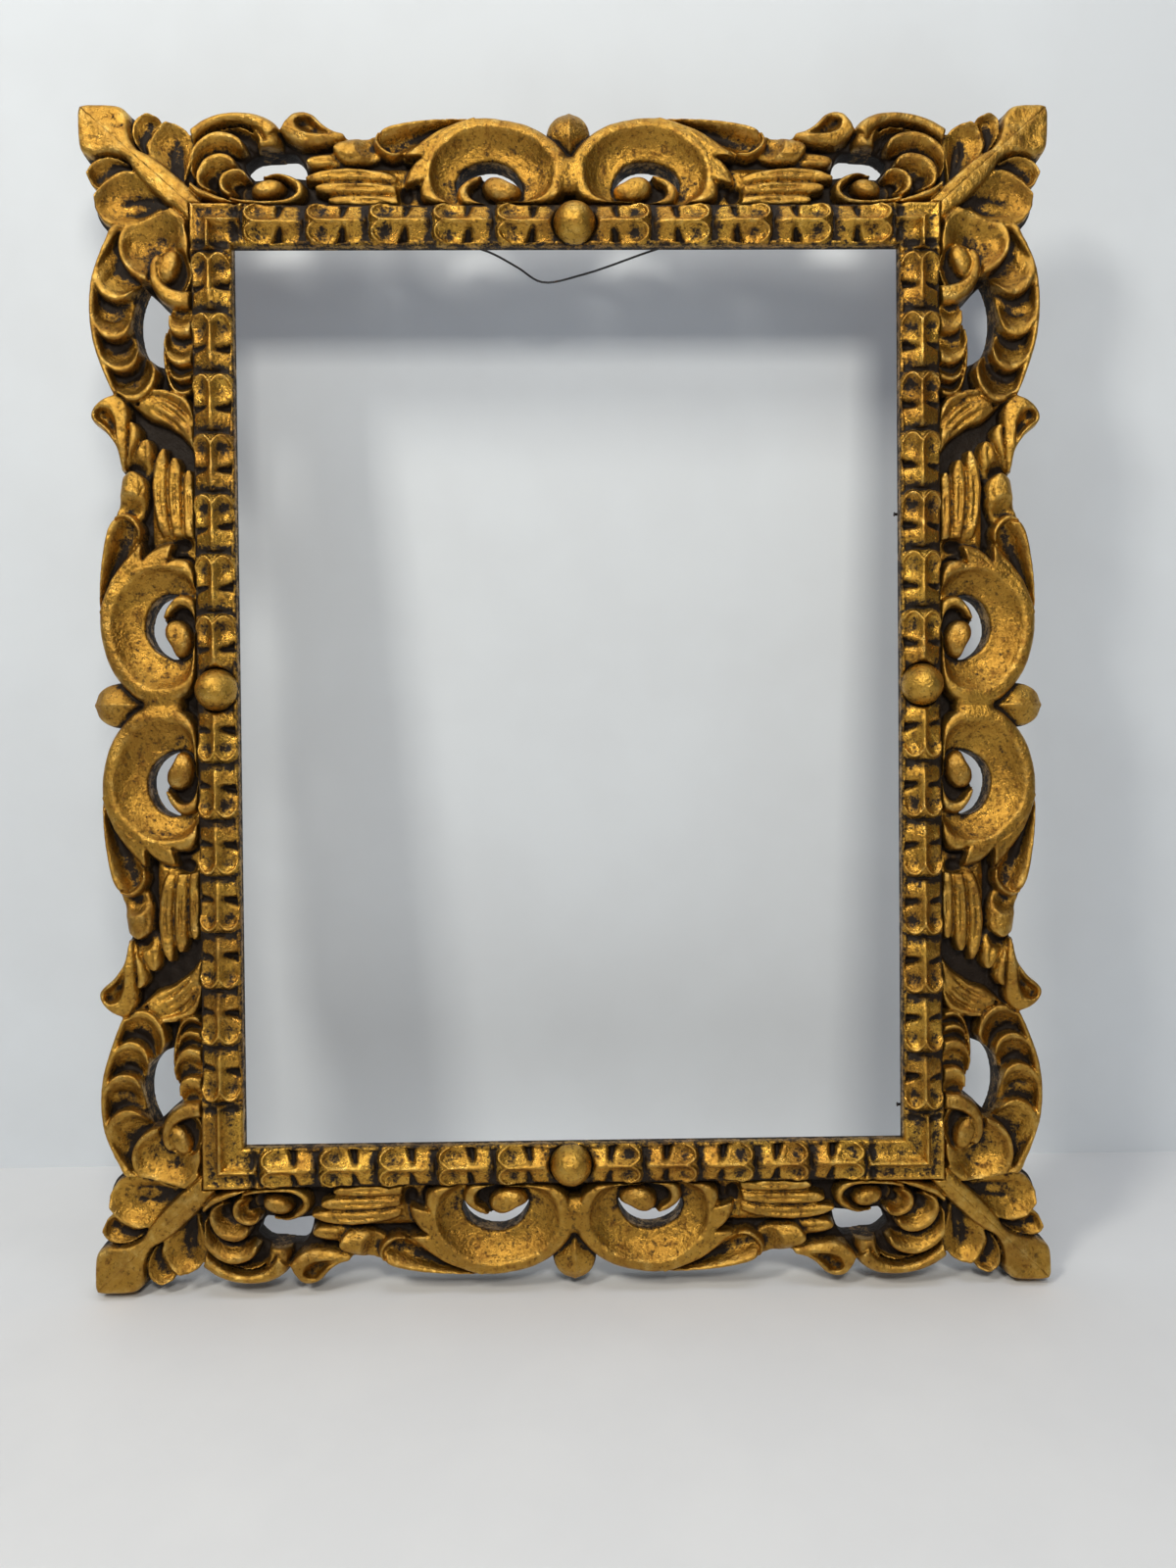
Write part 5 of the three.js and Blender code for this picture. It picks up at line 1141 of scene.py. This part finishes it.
def moulding(name, material):
    """One side's sight moulding: the lip, the rows of husks each way from the bead, and the rebate."""
    rail = RAILS[name]
    half = SIGHT_W / 2 if rail["wide"] else SIGHT_H / 2
    size = MOULDING_VOXEL
    s = np.arange(-(half + MOULDING_W + 1.2), half + MOULDING_W + 1.2, size)
    v = np.arange(-1.0, MOULDING_W + 1.2, size)
    h = np.arange(-1.0, MOULDING_TOP_H, size)
    s2, v2 = np.meshgrid(s, v, indexing="ij")
    top = eased([(-1, 17.0), (0.0, 17.9), (0.5, 18.7), (1.2, 18.9), (2.2, 18.3), (6, 17.9), (12, 17.8), (16.4, 17.7),
                 (17.5, 17.2), (18.6, 16.4)], v2)
    # wax all over, with painted shade darker towards the edge against the border
    dirt_and_shade = np.full(s2.shape, 0.45) + 0.4 * step_up(v2, 15.5, 17.6)
    ends = {"left": -1, "right": 1} if rail["wide"] else {"bottom": -1, "top": 1}
    for k_end, (end, sign) in enumerate(ends.items()):
        start = sign * BOSS_AT[name] + BOSS_D / 2 - 1
        stop = half - HUSK_SHORT[name][end]
        count = HUSK_COUNT[rail["wide"]]
        pitch = (stop - start) / count
        # plain mitred block beyond the last husk
        x = sign * s2
        block = eased([(-1, 16.4), (0, 18.0), (0.9, 19.5), (2.6, 19.2), (6, 19.9), (8.2, 21.8), (8.9, 23.2),
                       (9.4, 23.8), (9.9, 23.2), (11, 21.2), (13.6, 19.8), (15.4, 20.2), (16.8, 20.9), (17.5, 19.8),
                       (18.6, 17.0)], v2)
        block = block - 1.7 * np.exp(-((x - (stop + 2.0)) / 1.7) ** 2) * (np.abs(v2 - 9.4) > 0.9)
        top = np.where(x > stop - 3.4, np.maximum(top, block), top)
        # painted shade in the block's hollows and in its notch, with wax
        dirt_and_shade = np.where(x > stop - 3.4, 0.42 * np.exp(-((np.abs(v2 - 9.2) - 4.4) / 2.4) ** 2)
                        + 0.6 * np.exp(-((x - (stop + 1.6)) / 1.8) ** 2), dirt_and_shade)
        for k in reversed(range(count)):
            one, wax_and_shade, inside = husk_heights(x, v2, start + pitch * k - HUSK_TUCK, start + pitch * (k + 1) - 0.2,
                                            97 * k + 13 * k_end + len(name))
            top = np.where(inside & (x > start - 4), one, top)
            dirt_and_shade = np.where(inside & (x > start - 4), wax_and_shade, dirt_and_shade)
    ring = np.hypot(s2 - BOSS_AT[name], v2 - MOULDING_W / 2)
    seat = BOSS_D / 2 + FIT + 0.2
    top = np.where(ring < seat, VALLEY_H, top)
    top = np.where((ring >= seat) & (ring < seat + 1.6), np.minimum(top, VALLEY_H + 1 + (ring - seat) * 3), top)
    rng = np.random.default_rng(len(name) * 7)
    rough = soften(rng.standard_normal(s2.shape), 6)
    top = soften(top, 1) + rough / rough.std() * 0.10
    near, wide = soften(top, 14), soften(top, 60)
    # painted shade in the hollows, with the wax; below, a painted highlight on the crests, less of it along the sight
    # edge
    recess = np.clip(step_up(near - top, 0.15, 1.3) * 0.6 + soften(dirt_and_shade, 2), 0, 1)
    crest = np.clip(step_up(top - near, 0.03, 0.6) * 0.8 + step_up(top - wide, 0.3, 2.0) * 0.4, 0, 1)
    crest = crest * (0.25 + 0.75 * step_up(v2, 0.4, 1.8))
    gs, gv = np.gradient(top, size)
    slope = 1 / np.sqrt(1 + gs ** 2 + gv ** 2)
    rebate = REBATE[rail["wide"]]
    v3 = v[None, :, None]
    h3 = h[None, None, :]
    under = LIP_FRONT - LIP_T
    # below the carving: the lip's own board, the step behind the rebate, and the lap over the ledge
    flat = np.maximum(np.maximum(-v3, v3 - MOULDING_W), under - h3)
    step = np.maximum(np.maximum(rebate - v3, v3 - (MOULDING_W - LEDGE_W)), -h3)
    ledge = np.maximum(np.maximum(rebate - v3, v3 - MOULDING_W), LEDGE_H + FIT - h3)
    lower = np.minimum(np.minimum(flat, step), ledge)
    mitre = (np.abs(s2) - (half + v2 + MITRE_LAP)) * MITRE_SHARE
    field = np.maximum((h3 - top[:, :, None]) * slope[:, :, None], lower)
    field = np.clip(np.maximum(field, mitre[:, :, None]), FIELD_IN, FIELD_OUT)
    if name == "right":
        for z in BRADS_AT:
            hole = np.hypot(s[:, None] - (z - MIDDLE_Z), h[None, :] - BRAD_H) - (BRAD_D / 2 + FIT)
            bore = np.where(v[None, :, None] < BORE_END, hole[:, None, :], FIELD_OUT)
            field = np.maximum(field, -bore)
    points, tris, quads = volume_mesh(field, (s[0], v[0], h[0]), size, 0.03)
    i = np.clip(np.rint((points[:, 0] - s[0]) / size).astype(int), 0, len(s) - 1)
    j = np.clip(np.rint((points[:, 1] - v[0]) / size).astype(int), 0, len(v) - 1)
    # wax and painted shade thicken down the walls, and the painted highlight fades there
    deep = step_up(top[i, j] - points[:, 2], 0.8, 3.0)
    attributes = {"recess": np.maximum(recess[i, j] * (1 - deep), 0.62 * deep), "crest": crest[i, j] * (1 - deep)}
    part = to_part(points[:, 0], points[:, 1], points[:, 2], rail)
    piece = mesh_object(f"{name}_husk_moulding", part, tris, quads, attributes, [material])
    on_frame(piece, f"{name}_moulding")


# ---------------------------------------------------------------- beads and hardware

def lathe(profile, around, centre, axis, wobble=0.0, seed=1):
    """Points and quads of a turned form; the profile is [radius, height along the axis]."""
    rng = np.random.default_rng(seed)
    phase = rng.uniform(0, 6.28, 4)
    angle = np.arange(around) / around * 2 * np.pi
    ring = np.stack([np.cos(angle), np.sin(angle)], 1)
    axis = np.array(axis, float)
    side = np.array([0, 0, 1.0]) if abs(axis[2]) < 0.9 else np.array([1.0, 0, 0])
    e1 = np.cross(axis, side)
    e1 /= np.linalg.norm(e1)
    e2 = np.cross(axis, e1)
    points = []
    for r, h in profile:
        k = 1 + wobble * (np.sin(2 * angle + phase[0] + h * 0.3) + 0.6 * np.sin(3 * angle + phase[1]))
        points.append(np.array(centre) + axis * h + (ring[:, :1] * e1 + ring[:, 1:] * e2) * (r * k)[:, None])
    points = np.concatenate(points)
    quads = []
    for i in range(len(profile) - 1):
        for a in range(around):
            b = (a + 1) % around
            quads.append((i * around + a, i * around + b, (i + 1) * around + b, (i + 1) * around + a))
    first, last = len(points), len(points) + 1
    points = np.concatenate([points, [np.array(centre) + axis * profile[0][1]],
                             [np.array(centre) + axis * profile[-1][1]]])
    tris = []
    top = (len(profile) - 1) * around
    for a in range(around):
        b = (a + 1) % around
        tris += [(first, b, a), (last, top + a, top + b)]
    return points, np.array(tris), np.array(quads)


def bead_boss(name, material):
    """The half-round bead in the middle of a side."""
    rail = RAILS[name]
    bend = [(BOSS_D / 2 * math.cos(k), BOSS_RISE * math.sin(k)) for k in np.linspace(0, math.pi / 2 - 0.03, 26)]
    profile = [(BOSS_D / 2 - 1.2, 0.0), (BOSS_D / 2 - 0.2, 0.05)] + [(r, h + 0.15) for r, h in bend]
    centre = to_part(np.array([BOSS_AT[name]]), np.array([MOULDING_W / 2]), np.array([VALLEY_H + FIT]), rail)[0] / MM
    points, tris, quads = lathe(profile, 64, centre, (0, -1, 0), 0.006, len(name))
    # painted shade round the bead's foot where it sits in the moulding, and a painted highlight on its top
    rise = (-(points[:, 1]) - VALLEY_H) / BOSS_RISE
    attributes = {"recess": 0.75 * step_up(-rise, -0.28, -0.02), "crest": 0.6 * step_up(rise, 0.35, 0.95)}
    points[:, 1] = np.maximum(points[:, 1], -(VALLEY_H + FIT + BOSS_RISE) + 0.02)
    piece = mesh_object(f"{name}_bead", points * MM, tris, quads, attributes, [material])
    on_frame(piece, f"{name}_boss")


def joined_arrays(parts):
    """Several meshes' arrays as one mesh's."""
    points, tris, quads, count = [], [], [], 0
    for p, t, q in parts:
        points.append(p)
        tris.append(np.array(t).reshape(-1, 3) + count)
        quads.append(np.array(q).reshape(-1, 4) + count)
        count += len(p)
    return np.concatenate(points), np.concatenate(tris), np.concatenate(quads)


def torus(centre, radius, thick, around=40, across=14):
    """A ring across X, closed."""
    points, quads = [], []
    for i in range(around):
        a = i / around * 2 * math.pi
        for j in range(across):
            b = j / across * 2 * math.pi
            r = radius + thick * math.cos(b)
            points.append((centre[0] + thick * math.sin(b), centre[1] + r * math.cos(a), centre[2] + r * math.sin(a)))
            k, m = (i + 1) % around, (j + 1) % across
            quads.append((i * across + j, i * across + m, k * across + m, k * across + j))
    return np.array(points), np.zeros((0, 3), int), np.array(quads)


SHANK_LEN, SHANK_POINT, SHANK_D = 5.0, 2.0, 2.2
THREAD_DEPTH, THREAD_STEP, THREAD_STEPS = 0.24, 0.19, 36


def screw_eye(side, name, material):
    """A ring on a shank whose thread goes into the back."""
    x = side * EYE_SPAN / 2
    ring = torus((x, EYE_BACK, 0), EYE_RING_R, EYE_WIRE_D / 2)
    profile = [(0.08, -SHANK_LEN - SHANK_POINT + 0.1)]
    for k in range(THREAD_STEPS):
        y = -SHANK_LEN - SHANK_POINT + 0.3 + k * THREAD_STEP
        core = min(1.0, (y + SHANK_LEN + SHANK_POINT) / SHANK_POINT)
        thread = 0.5 + 0.5 * math.cos(k / 4 * 2 * math.pi)
        profile.append((core * (SHANK_D / 2 - THREAD_DEPTH + THREAD_DEPTH * thread), y))
    profile += [(SHANK_D / 2 - 0.06, 0.2), (SHANK_D / 2, 0.5), (SHANK_D / 2 - 0.1, 2.4), (0.9, EYE_BACK - EYE_RING_R)]
    shank = lathe(profile, 20, (x, 0, 0), (0, 1, 0))
    points, tris, quads = joined_arrays([ring, shank])
    piece = mesh_object(name + "_turned", points * MM, tris, quads, {}, [material])
    on_frame(piece, name)


BRAD_D, BRAD_LEN, BRAD_OUT = 1.2, 16.0, 0.7
BRAD_SINK = 3.1
BRAD_H = LIP_FRONT - LIP_T - BRAD_SINK
BRADS_AT = (-(EYE_RISE + 116.4), -(EYE_RISE + SIGHT_H - 13))


def brad(name, z, material):
    """A small headed nail, driven in from the sight edge."""
    x = SIGHT_W / 2 - BRAD_OUT
    profile = [(0.5, 0.03), (0.82, 0.06), (0.98, 0.22), (0.98, 0.4), (0.8, 0.57), (BRAD_D / 2, 0.62),
               (BRAD_D / 2, 8.0), (BRAD_D / 2, BRAD_LEN - 1.6), (0.12, BRAD_LEN - 0.05)]
    points, tris, quads = lathe(profile, 20, (x, -BRAD_H, z), (1, 0, 0), 0.02, 3)
    piece = mesh_object(name + "_drawn", points * MM, tris, quads, {}, [material])
    on_frame(piece, name)


# ---------------------------------------------------------------- floor, backdrop and light

def stage_plane(name, corners, material):
    data = bpy.data.meshes.new(name)
    data.from_pydata([tuple(c) for c in corners], [], [(0, 1, 2, 3)])
    data.materials.append(material)
    made = bpy.data.objects.new(name, data)
    bpy.context.scene.collection.objects.link(made)


def front_only(made):
    """Makes a material clear from behind, so that a view of the frame's back isn't of the wall."""
    tree = made.node_tree
    surface = next(node for node in tree.nodes if node.type == "OUTPUT_MATERIAL").inputs["Surface"]
    board = surface.links[0].from_socket
    behind = add_node(tree, "ShaderNodeNewGeometry").outputs["Backfacing"]
    clear = add_node(tree, "ShaderNodeBsdfTransparent").outputs["BSDF"]
    both = add_node(tree, "ShaderNodeMixShader", None, {0: behind, 1: board, 2: clear})
    tree.links.new(both.outputs["Shader"], surface)
    return made


FLOOR_Z, FLOOR_RISE, FLOOR_BACK, REACH = -0.4830, math.radians(7), 1.2, 3
WALL_Y, WALL_LEAN, WALL_TUCK = 0.115, math.radians(7.5), 0.02


def make_stage():
    """The floor rises a little to the back, and the wall leans forward, as the photo shows them."""
    rise, lean = math.tan(FLOOR_RISE), math.tan(WALL_LEAN)
    corners = ((-REACH, -REACH), (REACH, -REACH), (REACH, FLOOR_BACK), (-REACH, FLOOR_BACK))
    floor = [(x, y, FLOOR_Z + (y + 0.01) * rise) for x, y in corners]
    stage_plane("floor", floor, plain_stage("matt_board_floor", "dfe1e4", 0.7, 60))
    foot_z = FLOOR_Z + (WALL_Y + 0.01) * rise
    head_y, head_z = WALL_Y - REACH * lean, foot_z + REACH
    wall = [(-REACH, WALL_Y, foot_z - WALL_TUCK), (REACH, WALL_Y, foot_z - WALL_TUCK),
            (REACH, head_y, head_z), (-REACH, head_y, head_z)]
    stage_plane("backdrop", wall, front_only(plain_stage("matt_board_wall", "e4ebf3", 0.75, 80)))


def area_light(name, place, target, size, power, colour):
    """A rectangular light at a place in metres that faces its target; its power is in watts."""
    data = bpy.data.lights.new(name, "AREA")
    data.shape = "RECTANGLE"
    data.size, data.size_y = size
    data.energy = power
    data.color = sheet_colour(colour)[:3]
    made = bpy.data.objects.new(name, data)
    made.location = place
    made.rotation_euler = (Vector(target) - Vector(place)).to_track_quat("-Z", "Y").to_euler()
    bpy.context.scene.collection.objects.link(made)


def make_light():
    """A window to the left, a smaller light beside the camera, a wide one overhead and a dim room."""
    world = bpy.data.worlds.new("studio")
    bpy.context.scene.world = world
    world.use_nodes = True
    tree = world.node_tree
    tree.nodes.clear()
    back = add_node(tree, "ShaderNodeBackground", None, {"Color": sheet_colour("c9d0da"), "Strength": 0.16})
    add_node(tree, "ShaderNodeOutputWorld", None, {"Surface": back.outputs["Background"]})
    area_light("window_left", (-0.75, -0.95, 0.65), (0, 0, -0.22), (0.22, 0.36), 8.6, "fff9ec")
    area_light("by_camera", (0.08, -0.95, 0.22), (0, 0, -0.22), (0.24, 0.18), 4.6, "fff8ea")
    area_light("ceiling", (0.1, -0.45, 1.3), (0, 0, -0.2), (1.1, 0.6), 6.5, "eef4ff")


# ---------------------------------------------------------------- the whole scene

make_camera()

steel_wire = old_steel("drawn_steel_wire", "4a4a4c", 0.1)
route = wire_route()
wire = smooth_curve("picture_wire", route, WIRE_D)
wire.data.materials.append(steel_wire)
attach(wire, "wire")
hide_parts("hanging_wire", "wire_loop_left", "wire_loop_right")

gilt = gilding("old_burnished_gilding", "9f7530", "bd903c", 0.27)
bead_gilt = gilding("burnished_bead_gilding", "b58a37", "cda045", 0.24)
moulding_gilt = gilding("worn_husk_gilding", "b08034", "cfa143", 0.22)
wood = bare_wood("old_planed_pine")
eye_steel = old_steel("screw_eye_steel", "3f3f42", 0.35)
brad_steel = old_steel("brad_steel", "2f2f31", 0.5)

drawings = {"tall": draw_half(TALL), "wide": draw_half(WIDE)}
for rail_name in RAILS:
    border_rail(rail_name, drawings, [gilt, wood])
    moulding(rail_name, moulding_gilt)
    bead_boss(rail_name, bead_gilt)
screw_eye(-1, "screw_eye_left", eye_steel)
screw_eye(1, "screw_eye_right", eye_steel)
brad("brad_right_upper", BRADS_AT[0], brad_steel)
brad("brad_right_lower", BRADS_AT[1], brad_steel)

make_stage()
make_light()

bpy.context.scene.view_settings.view_transform = "Standard"
